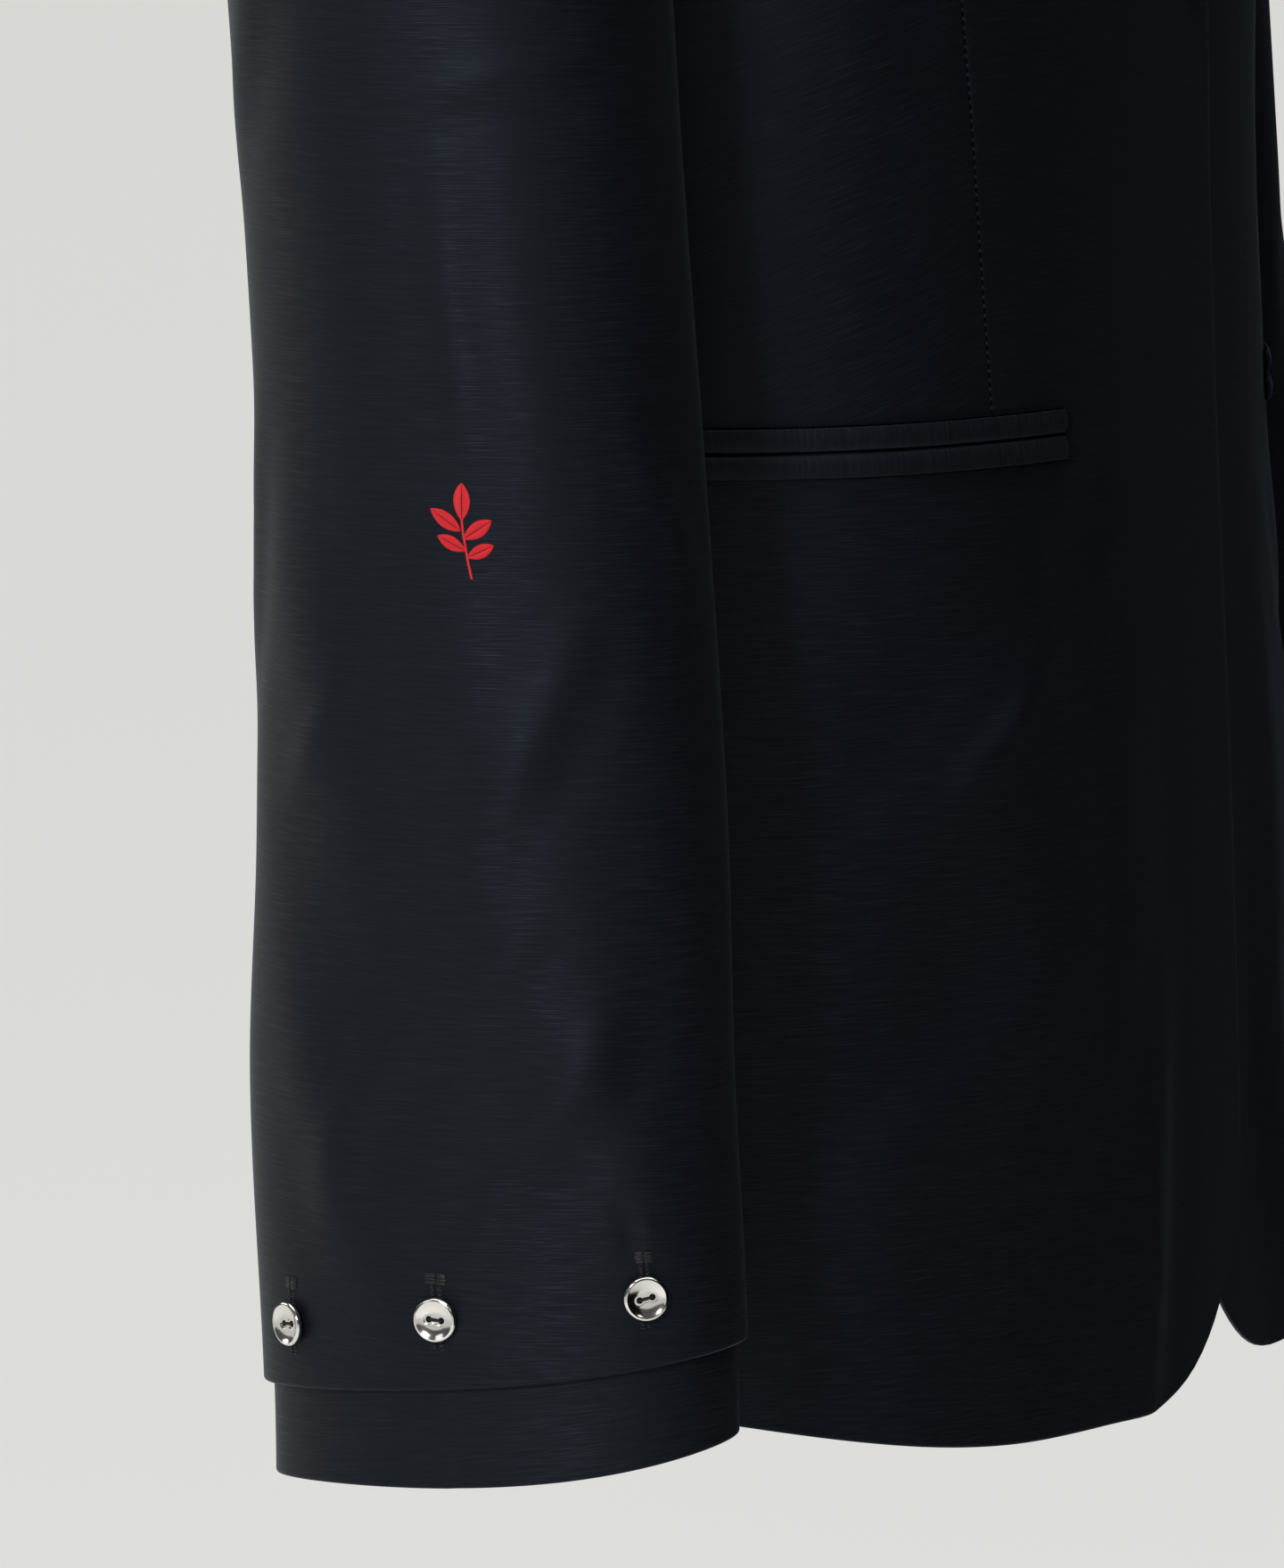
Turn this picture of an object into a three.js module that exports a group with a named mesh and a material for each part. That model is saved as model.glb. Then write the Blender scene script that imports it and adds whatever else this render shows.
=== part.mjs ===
// A single-breasted blazer in the hollow shape that it keeps when it is worn: two fronts, two
// side fronts, two side panels, two backs, lapels, a collar, two-piece sleeves with a buttoned
// inner cuff, jetted pockets and metal buttons. Each piece of cloth is a thin closed wall.
// The origin is midway between the two side-neck points, where the shoulders carry the
// garment. Sizes are in millimetres, +Z is up, the front faces -Y, and the wearer's right is -X.
import * as THREE from "three";

// Cloth and seams.
const CLOTH = 1.6;
const SEAM_GAP = 0.34;
const LAY_GAP = 0.5;

// Body levels. Above the underarm a level is measured along the rise from the underarm to the
// shoulder seam, which slopes down from the neck to the shoulder point.
const UNDERARM = -235;
const SHOULDER_SEAM = 15;
const SEAM_PEAK = 31.2;
const SHOULDER_FALL = 0.3667;
const PEAK_ROUNDING = 40;
const FRONT_CROWN = 1.65;
const BACK_CROWN = 1.8;
const CHEST_FRONT = 137;
const CHEST_BACK = 142;
const BODY_POWER = 2.35;
const NECK_HALF = 75;
const NECK_DROP = 0.16;

const BODY_RINGS = [
  { level: -735, half: 206, front: 152, back: 121 },
  { level: -640, half: 203, front: 149, back: 122 },
  { level: -560, half: 200, front: 146.5, back: 124 },
  { level: -437, half: 195.5, front: 140.5, back: 129 },
  { level: -345, half: 194, front: 137.5, back: 138 },
  { level: UNDERARM, half: 196, front: CHEST_FRONT, back: CHEST_BACK },
];
const UPPER_RINGS = [
  { rise: 0, half: 196 },
  { rise: 0.2, half: 203 },
  { rise: 0.45, half: 215 },
  { rise: 0.75, half: 232 },
  { rise: 1, half: 245.7 },
];
// How far round towards the chest or back the armhole reaches, as a share of the body's depth.
const ARMHOLE = [
  { turn: 0, reach: 0.49 },
  { turn: 60, reach: 0.615 },
  { turn: 96, reach: 0.647 },
  { turn: 127, reach: 0.52 },
  { turn: 147, reach: 0.321 },
  { turn: 180, reach: 0 },
];

// Front edge, closure and hem.
const LAP = 20;
const BREAK = -295;
const CORNER_RADIUS = 80;
const FRONT_HEM = -734;
const SIDE_HEM = -715;
const BACK_HEM = -719;
// Turns between which the hem changes level.
const FRONT_HEM_RISE = { from: 28, to: 88 };
const BACK_HEM_FALL = { from: 92, to: 160 };
const UNDERLAP = [
  { level: -735, depth: 2.3 },
  { level: -335, depth: 2.3 },
  { level: -290, depth: 5.6 },
  { level: -215, depth: 5.6 },
  { level: -165, depth: 0 },
];
const UNDERLAP_EASE = 70;

// Seams of the body.
const SIDE_SEAM_FRONT_Y = 28;
const SIDE_SEAM_BACK_Y = 50;
const POCKET_LEVEL = -438;
const DART = [
  { level: -735, x: 121 },
  { level: POCKET_LEVEL, x: 120 },
  { level: -309, x: 128 },
  { level: UNDERARM, x: 141 },
  { level: -198, x: 160 },
];
const DART_TIP_TURN = 120;
const DART_TIP_WIDTH = 1.2;

// Soft folds that run down the cloth of the body: where each is centred, how wide and long it
// is, how far it leans and how far it stands out or in.
const BODY_FOLDS = [
  { level: -640, x: 66, back: false, width: 16, length: 150, lean: -6, rise: 3.4 },
  { level: -560, x: 150, back: false, width: 34, length: 170, lean: 20, rise: -3.0 },
  { level: -520, x: 122, back: false, width: 30, length: 120, lean: 34, rise: 3.0 },
  { level: -600, x: 60, back: true, width: 30, length: 170, lean: 10, rise: 4.2 },
  { level: -590, x: 125, back: true, width: 32, length: 150, lean: -12, rise: -3.4 },
  { level: -330, x: 118, back: true, width: 30, length: 120, lean: -30, rise: 3.2 },
  { level: -180, x: 120, back: false, width: 26, length: 80, lean: 40, rise: -2.4 },
];

// Lapel, from the break up to the gorge: the level at the roll line and at the outer edge, and
// the width between them.
const LAPEL = [
  { inner: -289, outer: -289, width: 5 },
  { inner: -273, outer: -271, width: 19 },
  { inner: -248, outer: -243, width: 37 },
  { inner: -216, outer: -210, width: 55 },
  { inner: -181, outer: -174, width: 71 },
  { inner: -148, outer: -142, width: 83 },
  { inner: -117, outer: -114, width: 91 },
  { inner: -92, outer: -100, width: 96 },
  { inner: -52, outer: -86, width: 96 },
];
const LAPEL_COLUMNS = 9;
const LAPEL_GAP = 1.5;
const LAPEL_ROLL = 4;
const LAPEL_ROLL_WIDTH = 46;
const LEFT_LAPEL_START = -285;
// Levels between which each lapel's roll comes up to its full height.
const RIGHT_ROLL = { from: BREAK, to: BREAK + 60 };
const LEFT_ROLL = { from: -225, to: -150 };
const COLLAR_GAP = 1.4;
const COLLAR_FOLD_WIDTH = 7;
const COLLAR_LEAN = 2;
const COLLAR_BULGE = 2;

// Collar, from the centre back to the gorge. Each row names the neck edge, how high the stand
// is, how much it rises straight up, and where the fall's edge lies.
const COLLAR = [
  { face: "back", neckX: 0, stand: 38, upright: 1, fallX: 0, fallLevel: -46 },
  { face: "back", neckX: 40, stand: 34, upright: 1, fallX: 54, fallLevel: -40 },
  { face: "back", neckX: 62, stand: 26, upright: 1, fallX: 89, fallLevel: -24 },
  { face: "ridge", neckX: 75, stand: 19, upright: 1, fallX: 113, fallLevel: SHOULDER_SEAM },
  { face: "front", neckTurn: 15, stand: 18, upright: 0.9, fallX: 117, fallLevel: 5 },
  { face: "front", neckTurn: 30, stand: 15, upright: 0.75, fallX: 120, fallLevel: -15 },
  { face: "front", neckTurn: 45, stand: 11, upright: 0.5, fallX: 120, fallLevel: -38 },
  { face: "front", neckTurn: 60, stand: 6, upright: 0.2, fallX: 116, fallLevel: -63 },
];

// Sleeves.
const TURN_STEP = 15;
const SLEEVE_TOP = -250;
const SLEEVE_RINGS = [
  { level: SLEEVE_TOP, x: 262, y: -4, half: 65, depth: 54 },
  { level: -304, x: 259, y: -7, half: 64, depth: 53 },
  { level: -389, x: 258, y: -12.7, half: 64.4, depth: 50 },
  { level: -438, x: 258, y: -15.7, half: 65.5, depth: 48 },
  { level: -488, x: 258, y: -17.4, half: 68, depth: 46 },
  { level: -547, x: 258, y: -19, half: 70.5, depth: 44 },
  { level: -613, x: 258, y: -18.6, half: 73.2, depth: 41.5 },
  { level: -700, x: 258, y: -22.8, half: 73.4, depth: 40 },
  { level: -760, x: 258, y: -23.5, half: 73.4, depth: 40 },
];
const CAP_ROWS = 6;
const SLEEVE_LEVELS = [-285, -325, -365, -405, -445, -485, -525, -565, -605, -645, -671];
const SLEEVE_HEM = -691;
const INNER_CUFF_HEM = -718;
const CUFF_TILT = 0.135;
const CUFF_TILT_START = -565;
const FRONT_SEAM_TURN = 120;
const BACK_SEAM_TURN = 255;
const INNER_CUFF_LEVELS = [-636, -652, -672, -695];
const INNER_CUFF_TOP_INSET = 2.1;
const INNER_CUFF_INSET = 3.1;
const INNER_CUFF_CLOTH = 1.2;

// Soft creases of the sleeve, by turn round the arm from its outer side towards the front.
const SLEEVE_FOLDS = [
  { level: -600, turn: 34, width: 15, length: 60, lean: -24, rise: 2.4 },
  { level: -520, turn: 22, width: 15, length: 80, lean: -22, rise: 2.0 },
  { level: -505, turn: -28, width: 14, length: 60, lean: -14, rise: 1.8 },
  { level: -630, turn: -26, width: 13, length: 60, lean: -16, rise: 2.0 },
  { level: -400, turn: 2, width: 16, length: 90, lean: 4, rise: -1.6 },
  { level: -300, turn: 170, width: 22, length: 40, lean: 10, rise: -3 },
  { level: -430, turn: 190, width: 20, length: 70, lean: -16, rise: -2.6 },
  { level: -560, turn: 165, width: 18, length: 80, lean: 14, rise: 2.2 },
];

// Pocket welts, measured back from the front end.
const POCKET_FRONT_X = 87;
const POCKET_REAR_Y = 33;
const WELT_HEIGHT = 7;
const WELT_GAP = 0.7;
const WELT_CLOTH = 1.3;
const WELT_CROWN = 0.5;
const WELT_COLUMNS = 9;

// Buttons.
const BUTTON_RADIUS = 6.35;
const BUTTON_HEIGHT = 2.4;
const BUTTON_RIM = 1.3;
const BUTTON_DISH = 0.9;
// Shares of a button's radius and height at the corners of its profile.
const BUTTON_BACK_SHARE = 0.7;
const BUTTON_FLOOR_SHARE = 0.45;
const BUTTON_SIDE_LOW = 0.45;
const BUTTON_SIDE_HIGH = 0.8;
const BUTTON_RIM_FOOT = 0.85;
const BUTTON_SIDES = 14;
const CUFF_BUTTON_TURNS = [-46, -2, 49, 131, 179, 228];
const CUFF_BUTTON_ABOVE_HEM = 18;
const FRONT_BUTTON_LEVEL = -305;
const FRONT_BUTTON_X = 6;
const FRONT_BUTTON_RADIUS = 7;

const RIGHT = -1;
const LEFT = 1;
const DEGREES = Math.PI / 180;
const STEP = 0.5;

const clothMaterial = new THREE.MeshStandardMaterial({ color: 0x14171c, roughness: 0.55, metalness: 0 });
const weltMaterial = new THREE.MeshStandardMaterial({ color: 0x1a1d22, roughness: 0.5, metalness: 0 });
const buttonMaterial = new THREE.MeshStandardMaterial({ color: 0xd0ccc3, roughness: 0.2, metalness: 1 });

// Reads one column of a short table at a key, on a smooth curve through its rows.
function lookUp(table, keyName, key, column) {
  const last = table.length - 1;
  const rising = table[last][keyName] > table[0][keyName];
  const at = (i) => table[Math.min(Math.max(i, 0), last)];
  const before = (i) => (rising ? key >= table[i][keyName] : key <= table[i][keyName]);
  if (!before(0)) return table[0][column];
  if (before(last)) return table[last][column];
  let i = 0;
  while (before(i + 1)) i += 1;
  const slope = (k) => {
    const span = at(k + 1)[keyName] - at(k - 1)[keyName];
    return span === 0 ? 0 : (at(k + 1)[column] - at(k - 1)[column]) / span;
  };
  const span = at(i + 1)[keyName] - at(i)[keyName];
  const t = (key - at(i)[keyName]) / span;
  const square = t * t;
  const cube = square * t;
  return (2 * cube - 3 * square + 1) * at(i)[column] + (cube - 2 * square + t) * span * slope(i)
    + (3 * square - 2 * cube) * at(i + 1)[column] + (cube - square) * span * slope(i + 1);
}

function mix(a, b, t) {
  return a + (b - a) * t;
}

function ease(low, high, value) {
  const t = Math.min(Math.max((value - low) / (high - low), 0), 1);
  return t * t * (3 - 2 * t);
}

// Share of the way from the underarm to the shoulder seam, 0 below the underarm.
function riseOf(level) {
  return Math.min(Math.max((level - UNDERARM) / (SHOULDER_SEAM - UNDERARM), 0), 1);
}

// Half-width and depths of the body's section at a level.
function bodySection(level) {
  const rise = riseOf(level);
  if (rise === 0) {
    return {
      half: lookUp(BODY_RINGS, "level", level, "half"),
      front: lookUp(BODY_RINGS, "level", level, "front"),
      back: lookUp(BODY_RINGS, "level", level, "back"),
    };
  }
  const crown = (power) => Math.max(1 - rise ** power, 0) ** (1 / power);
  return {
    half: lookUp(UPPER_RINGS, "rise", rise, "half"),
    front: CHEST_FRONT * crown(FRONT_CROWN),
    back: CHEST_BACK * crown(BACK_CROWN),
  };
}

// The turn round the body, from 0 at the centre front over 90 at the side to 180 at the centre
// back, at which a level's section reaches a distance x towards the side.
function turnAtX(level, x, back = false) {
  const share = Math.min(Math.abs(x) / bodySection(level).half, 1);
  const turn = Math.asin(share ** (BODY_POWER / 2)) / DEGREES;
  const signed = Math.sign(x) * turn;
  return back ? 180 - signed : signed;
}

function turnAtY(level, y) {
  const section = bodySection(level);
  const depth = y < 0 ? section.front : section.back;
  const turn = Math.acos((Math.abs(y) / depth) ** (BODY_POWER / 2)) / DEGREES;
  return y < 0 ? turn : 180 - turn;
}

// The bare form of the right half of the body, with x counted towards the side.
function bodyForm(level, turn) {
  const section = bodySection(level);
  const sine = Math.sin(turn * DEGREES);
  const cosine = Math.cos(turn * DEGREES);
  const x = section.half * Math.sign(sine) * Math.abs(sine) ** (2 / BODY_POWER);
  const reach = Math.abs(cosine) ** (2 / BODY_POWER);
  const y = cosine > 0 ? -section.front * reach : section.back * reach;
  const seam = SEAM_PEAK - SHOULDER_FALL * Math.hypot(x, PEAK_ROUNDING);
  const z = level <= UNDERARM ? level : mix(UNDERARM, seam, riseOf(level));
  return new THREE.Vector3(x, y, z);
}

// The outward normal of a surface given as a function of level and turn, by small steps.
function normalOf(surface, level, turn) {
  const top = Math.min(level + STEP, SHOULDER_SEAM - 0.01);
  const up = surface(top, turn).sub(surface(top - 2 * STEP, turn));
  const round = surface(level, turn + STEP).sub(surface(level, turn - STEP));
  return up.cross(round).normalize().negate();
}

function foldHeight(fold, along, across) {
  const reach = (along / fold.length) ** 2 + ((across - fold.lean * (along / fold.length)) / fold.width) ** 2;
  return fold.rise * Math.exp(-reach);
}

// The body with its folds, and with the left front let in where the right front laps over it.
function bodySurface(under) {
  return (level, turn) => {
    const form = bodyForm(level, turn);
    const back = Math.cos(turn * DEGREES) < 0;
    let lift = 0;
    for (const fold of BODY_FOLDS) {
      if (fold.back === back) lift += foldHeight(fold, level - fold.level, form.x - fold.x);
    }
    if (under && !back) {
      const lapEnd = Math.max(-rollLineX(level), 0);
      const depth = lookUp(UNDERLAP, "level", level, "depth");
      const inside = 1 - ease(lapEnd + 1.5, lapEnd + 1.5 + UNDERLAP_EASE, form.x);
      lift -= depth * inside;
    }
    return form.addScaledVector(normalOf(bodyForm, level, turn), lift);
  };
}

// Where the front edge or, above the break, the roll line lies. Past the centre x is negative.
function rollLineX(level) {
  if (level <= BREAK) return -LAP;
  return mix(-LAP, NECK_HALF, (level - BREAK) / (SHOULDER_SEAM - BREAK));
}

function armholeTurn(level, armTurn, back) {
  const reach = lookUp(ARMHOLE, "turn", armTurn, "reach");
  const turn = Math.acos(reach ** (BODY_POWER / 2)) / DEGREES;
  return back ? 180 - turn : turn;
}

// The level of the armhole at a turn round the arm, 0 at the shoulder point, 180 underneath.
function armholeLevel(armTurn) {
  return mix(UNDERARM, SHOULDER_SEAM, (1 + Math.cos(armTurn * DEGREES)) / 2);
}

function armholePoint(armTurn) {
  const turn = ((armTurn % 360) + 360) % 360;
  const back = turn > 180;
  const folded = back ? 360 - turn : turn;
  const level = Math.min(armholeLevel(folded), SHOULDER_SEAM - 0.001);
  return bodyForm(level, armholeTurn(level, folded, back));
}

// The turn round the arm whose armhole point lies at a distance y from the side.
function armTurnAtY(y) {
  let low = 120;
  let high = 180;
  for (let i = 0; i < 40; i += 1) {
    const middle = (low + high) / 2;
    const point = armholePoint(y < 0 ? middle : 360 - middle);
    if (Math.abs(point.y) > Math.abs(y)) low = middle;
    else high = middle;
  }
  return low;
}

// Moves a turn along its level by a distance in millimetres.
function nudgeTurn(surface, level, turn, distance) {
  const speed = surface(level, turn + STEP).distanceTo(surface(level, turn - STEP)) / (2 * STEP);
  return turn + distance / speed;
}

// A closed wall over a grid of cells. samples[i][j] holds a point of the outer face and its
// normal. Cells outside the mask are left open.
function wallFromGrid(samples, thickness, isCell = () => true, closed = false) {
  const rows = samples.length;
  const columns = samples[0].length;
  const positions = [];
  const slots = new Map();
  const vertex = (i, j, inner) => {
    const column = closed ? j % columns : j;
    const key = `${i},${column},${inner}`;
    if (!slots.has(key)) {
      const { point, normal } = samples[i][column];
      const p = inner ? point.clone().addScaledVector(normal, -thickness) : point;
      slots.set(key, positions.length / 3);
      positions.push(p.x, p.y, p.z);
    }
    return slots.get(key);
  };
  const indices = [];
  const quad = (a, b, c, d) => indices.push(a, b, c, a, c, d);
  const span = closed ? columns : columns - 1;
  const inGrid = (i, j) => i >= 0 && i < rows - 1 && (closed || (j >= 0 && j < span));
  const cell = (i, j) => inGrid(i, j) && isCell(i, closed ? (j + span) % span : j);
  for (let i = 0; i < rows - 1; i += 1) {
    for (let j = 0; j < span; j += 1) {
      if (!cell(i, j)) continue;
      quad(vertex(i, j, false), vertex(i, j + 1, false), vertex(i + 1, j + 1, false), vertex(i + 1, j, false));
      quad(vertex(i, j, true), vertex(i + 1, j, true), vertex(i + 1, j + 1, true), vertex(i, j + 1, true));
      if (!cell(i - 1, j)) quad(vertex(i, j, true), vertex(i, j + 1, true), vertex(i, j + 1, false), vertex(i, j, false));
      if (!cell(i + 1, j)) {
        quad(vertex(i + 1, j, false), vertex(i + 1, j + 1, false), vertex(i + 1, j + 1, true), vertex(i + 1, j, true));
      }
      if (!cell(i, j - 1)) quad(vertex(i, j, false), vertex(i + 1, j, false), vertex(i + 1, j, true), vertex(i, j, true));
      if (!cell(i, j + 1)) {
        quad(vertex(i, j + 1, true), vertex(i + 1, j + 1, true), vertex(i + 1, j + 1, false), vertex(i, j + 1, false));
      }
    }
  }
  const geometry = new THREE.BufferGeometry();
  geometry.setAttribute("position", new THREE.Float32BufferAttribute(positions, 3));
  geometry.setIndex(indices);
  return faceOutward(geometry);
}

// Turns a closed geometry's triangles round where its volume comes out negative.
function faceOutward(geometry) {
  const position = geometry.getAttribute("position");
  const index = geometry.getIndex();
  const corner = (k) => new THREE.Vector3().fromBufferAttribute(position, index.getX(k));
  let volume = 0;
  for (let k = 0; k < index.count; k += 3) volume += corner(k).dot(corner(k + 1).cross(corner(k + 2)));
  if (volume < 0) {
    const turned = Array.from(index.array);
    for (let k = 0; k < turned.length; k += 3) [turned[k + 1], turned[k + 2]] = [turned[k + 2], turned[k + 1]];
    geometry.setIndex(turned);
  }
  geometry.computeVertexNormals();
  return geometry;
}

// A point of a surface moved out by a lift, with its normal, on one side of the body. On the
// shoulder seam the wall stands square to the seam, half a gap from it.
function sample(surface, level, turn, side, lift = 0) {
  const normal = normalOf(surface, level, turn);
  const point = surface(level, turn).addScaledVector(normal, lift);
  if (level > SHOULDER_SEAM - STEP / 2) {
    normal.setY(0).normalize();
    point.y = turn > 90 ? SEAM_GAP / 2 : -SEAM_GAP / 2;
  }
  point.x *= side;
  normal.x *= side;
  return { point, normal };
}

function addMesh(parent, name, geometry, material = clothMaterial) {
  const mesh = new THREE.Mesh(geometry, material);
  mesh.name = name;
  parent.add(mesh);
  return mesh;
}

function sideName(side) {
  return side === RIGHT ? "right" : "left";
}

// Rows that every body panel shares, so that neighbours meet along the same points.
const LOWER_LEVELS = [-690, -640, -590, -540, -490, POCKET_LEVEL, -400, -352, -310, -270];
const ARM_TURNS = [];
for (let turn = 180; turn >= 0; turn -= TURN_STEP) ARM_TURNS.push(turn);
const CORNER_STEPS = 5;
const FRONT_COLUMNS = 9;
const SIDE_FRONT_COLUMNS = 4;
const SIDE_COLUMNS = 3;
const BACK_COLUMNS = 9;

function cornerDistances() {
  const distances = [];
  for (let k = 0; k <= CORNER_STEPS; k += 1) {
    const angle = (k / CORNER_STEPS) * 90 * DEGREES;
    distances.push({ in: CORNER_RADIUS * (1 - Math.cos(angle)), up: CORNER_RADIUS * (1 - Math.sin(angle)) });
  }
  return distances;
}

// The hem's level round the body, lower in front, with the rounded corner added apart.
function hemLevel(turn) {
  if (turn < 90) return mix(FRONT_HEM, SIDE_HEM, ease(FRONT_HEM_RISE.from, FRONT_HEM_RISE.to, Math.abs(turn)));
  return mix(SIDE_HEM, BACK_HEM, ease(BACK_HEM_FALL.from, BACK_HEM_FALL.to, turn));
}

// One front: a grid from the front edge to the side seam below the pocket, and only as far as
// the dart seam or the armhole above it.
function frontPanel(side) {
  const surface = bodySurface(side === LEFT);
  const corner = cornerDistances();
  const levels = [null, ...LOWER_LEVELS, ...ARM_TURNS.map(armholeLevel)];
  const pocketRow = levels.indexOf(POCKET_LEVEL);
  const grid = levels.map((rowLevel, i) => {
    const armTurn = i > LOWER_LEVELS.length ? ARM_TURNS[i - 1 - LOWER_LEVELS.length] : null;
    const row = [];
    for (let j = 0; j <= FRONT_COLUMNS + SIDE_FRONT_COLUMNS; j += 1) {
      let level = rowLevel === null ? FRONT_HEM : Math.min(rowLevel, SHOULDER_SEAM - 0.001);
      if (i > 0 && i < 3 && j < CORNER_STEPS) {
        level = mix(FRONT_HEM + corner[j].up, LOWER_LEVELS[2], i / 3);
      }
      const edge = rollLineX(level);
      const outer = frontOuterTurn(surface, level, armTurn);
      let turn;
      if (j <= CORNER_STEPS) {
        turn = turnAtX(level, edge + corner[j].in);
      } else if (j <= FRONT_COLUMNS) {
        const start = turnAtX(level, edge + CORNER_RADIUS);
        turn = mix(start, outer, (j - CORNER_STEPS) / (FRONT_COLUMNS - CORNER_STEPS));
      } else {
        const end = nudgeTurn(surface, level, turnAtY(level, -SIDE_SEAM_FRONT_Y), -SEAM_GAP / 2);
        turn = mix(outer, end, (j - FRONT_COLUMNS) / SIDE_FRONT_COLUMNS);
      }
      if (rowLevel === null) level = j <= CORNER_STEPS ? FRONT_HEM + corner[j].up : hemLevel(turn);
      if (rowLevel === POCKET_LEVEL && j > FRONT_COLUMNS) level -= SEAM_GAP / 2;
      row.push(sample(surface, level, turn, side));
    }
    return row;
  });
  return wallFromGrid(grid, CLOTH, (i, j) => i < pocketRow || j < FRONT_COLUMNS);
}

// The turn of the front's outer boundary: the dart seam up to the armhole, then the armhole.
function frontOuterTurn(surface, level, armTurn) {
  if (armTurn !== null && armTurn <= DART_TIP_TURN) {
    const turn = armholeTurn(level, armTurn, false);
    const inset = armTurn === DART_TIP_TURN ? -DART_TIP_WIDTH - SEAM_GAP : 0;
    return nudgeTurn(surface, level, turn, inset);
  }
  const dart = turnAtX(level, lookUp(DART, "level", level, "x"));
  const gap = level > POCKET_LEVEL ? -SEAM_GAP / 2 : 0;
  return nudgeTurn(surface, level, dart, gap);
}

// The cloth between the dart seam and the side seam, above the pocket.
function sideFrontPanel(side) {
  const surface = bodySurface(side === LEFT);
  const seamArmTurn = armTurnAtY(-SIDE_SEAM_FRONT_Y);
  const rows = [];
  const pocketRow = LOWER_LEVELS.indexOf(POCKET_LEVEL);
  for (const level of LOWER_LEVELS.slice(pocketRow)) rows.push({ level, armTurn: null });
  for (const armTurn of ARM_TURNS) {
    if (armTurn >= DART_TIP_TURN) rows.push({ level: armholeLevel(armTurn), armTurn });
  }
  const grid = rows.map(({ level: rowLevel, armTurn }) => {
    const level = rowLevel === POCKET_LEVEL ? rowLevel + SEAM_GAP / 2 : rowLevel;
    const dart = turnAtX(level, lookUp(DART, "level", level, "x"));
    let start = nudgeTurn(surface, level, dart, SEAM_GAP / 2);
    if (armTurn === DART_TIP_TURN) {
      start = nudgeTurn(surface, level, armholeTurn(level, armTurn, false), -DART_TIP_WIDTH);
    }
    const seam = nudgeTurn(surface, level, turnAtY(level, -SIDE_SEAM_FRONT_Y), -SEAM_GAP / 2);
    const onArmhole = armTurn !== null && armTurn < seamArmTurn;
    const end = onArmhole ? armholeTurn(level, armTurn, false) : seam;
    const row = [];
    for (let j = 0; j <= SIDE_FRONT_COLUMNS; j += 1) {
      row.push(sample(surface, level, mix(start, end, j / SIDE_FRONT_COLUMNS), side));
    }
    return row;
  });
  return wallFromGrid(grid, CLOTH);
}

// The panel under the arm, whose top edge is the bottom of the armhole.
function sidePanel(side) {
  const surface = bodySurface(side === LEFT);
  const frontTop = armholeLevel(armTurnAtY(-SIDE_SEAM_FRONT_Y));
  const backTop = armholeLevel(armTurnAtY(SIDE_SEAM_BACK_Y));
  const grid = [null, ...LOWER_LEVELS, UNDERARM].map((rowLevel) => {
    const row = [];
    for (let j = 0; j <= 2 * SIDE_COLUMNS; j += 1) {
      const across = j / SIDE_COLUMNS - 1;
      let level = rowLevel ?? SIDE_HEM;
      if (rowLevel === UNDERARM) level = mix(UNDERARM, across < 0 ? frontTop : backTop, across ** 2);
      const y = across * (across < 0 ? SIDE_SEAM_FRONT_Y : SIDE_SEAM_BACK_Y);
      let turn = y === 0 ? 90 : turnAtY(level, y);
      if (rowLevel === null) level = hemLevel(turn);
      if (j === 0) turn = nudgeTurn(surface, level, turn, SEAM_GAP / 2);
      if (j === 2 * SIDE_COLUMNS) turn = nudgeTurn(surface, level, turn, -SEAM_GAP / 2);
      row.push(sample(surface, level, turn, side));
    }
    return row;
  });
  return wallFromGrid(grid, CLOTH);
}

// Where a neck-edge point of the back lies, as a level.
function neckLevel(x) {
  const rise = 1 - NECK_DROP * Math.sqrt(Math.max(1 - (x / NECK_HALF) ** 2, 0));
  return mix(UNDERARM, SHOULDER_SEAM, rise);
}

// Share of a back's width over which its rows come up from the neck edge.
const NECK_BLEND = 0.6;
const NECK_XS = { 45: 0, 30: 40, 15: 62, 0: NECK_HALF };

// One back, from the centre-back seam to the side seam and armhole, up to the shoulder seam.
function backPanel(side) {
  const surface = bodySurface(false);
  const seamArmTurn = armTurnAtY(SIDE_SEAM_BACK_Y);
  const rows = [{ level: null, armTurn: null }];
  for (const level of LOWER_LEVELS) rows.push({ level, armTurn: null });
  for (const armTurn of ARM_TURNS) rows.push({ level: armholeLevel(armTurn), armTurn });
  const grid = rows.map(({ level: rowLevel, armTurn }) => {
    const row = [];
    const onNeck = armTurn !== null && armTurn in NECK_XS;
    for (let j = 0; j <= BACK_COLUMNS; j += 1) {
      const across = j / BACK_COLUMNS;
      let level = Math.min(rowLevel ?? BACK_HEM, SHOULDER_SEAM - 0.001);
      const neckX = onNeck ? NECK_XS[armTurn] : 0;
      if (onNeck) level = mix(Math.min(neckLevel(neckX), level), level, ease(0, NECK_BLEND, across));
      const centre = nudgeTurn(surface, level, turnAtX(level, neckX, true), neckX === 0 ? -SEAM_GAP / 2 : 0);
      const seam = nudgeTurn(surface, level, turnAtY(level, SIDE_SEAM_BACK_Y), SEAM_GAP / 2);
      const onArmhole = armTurn !== null && armTurn < seamArmTurn;
      const outer = onArmhole ? armholeTurn(level, armTurn, true) : seam;
      const turn = mix(centre, outer, across);
      if (rowLevel === null) level = hemLevel(turn);
      row.push(sample(surface, level, turn, side));
    }
    return row;
  });
  return wallFromGrid(grid, CLOTH);
}

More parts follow.
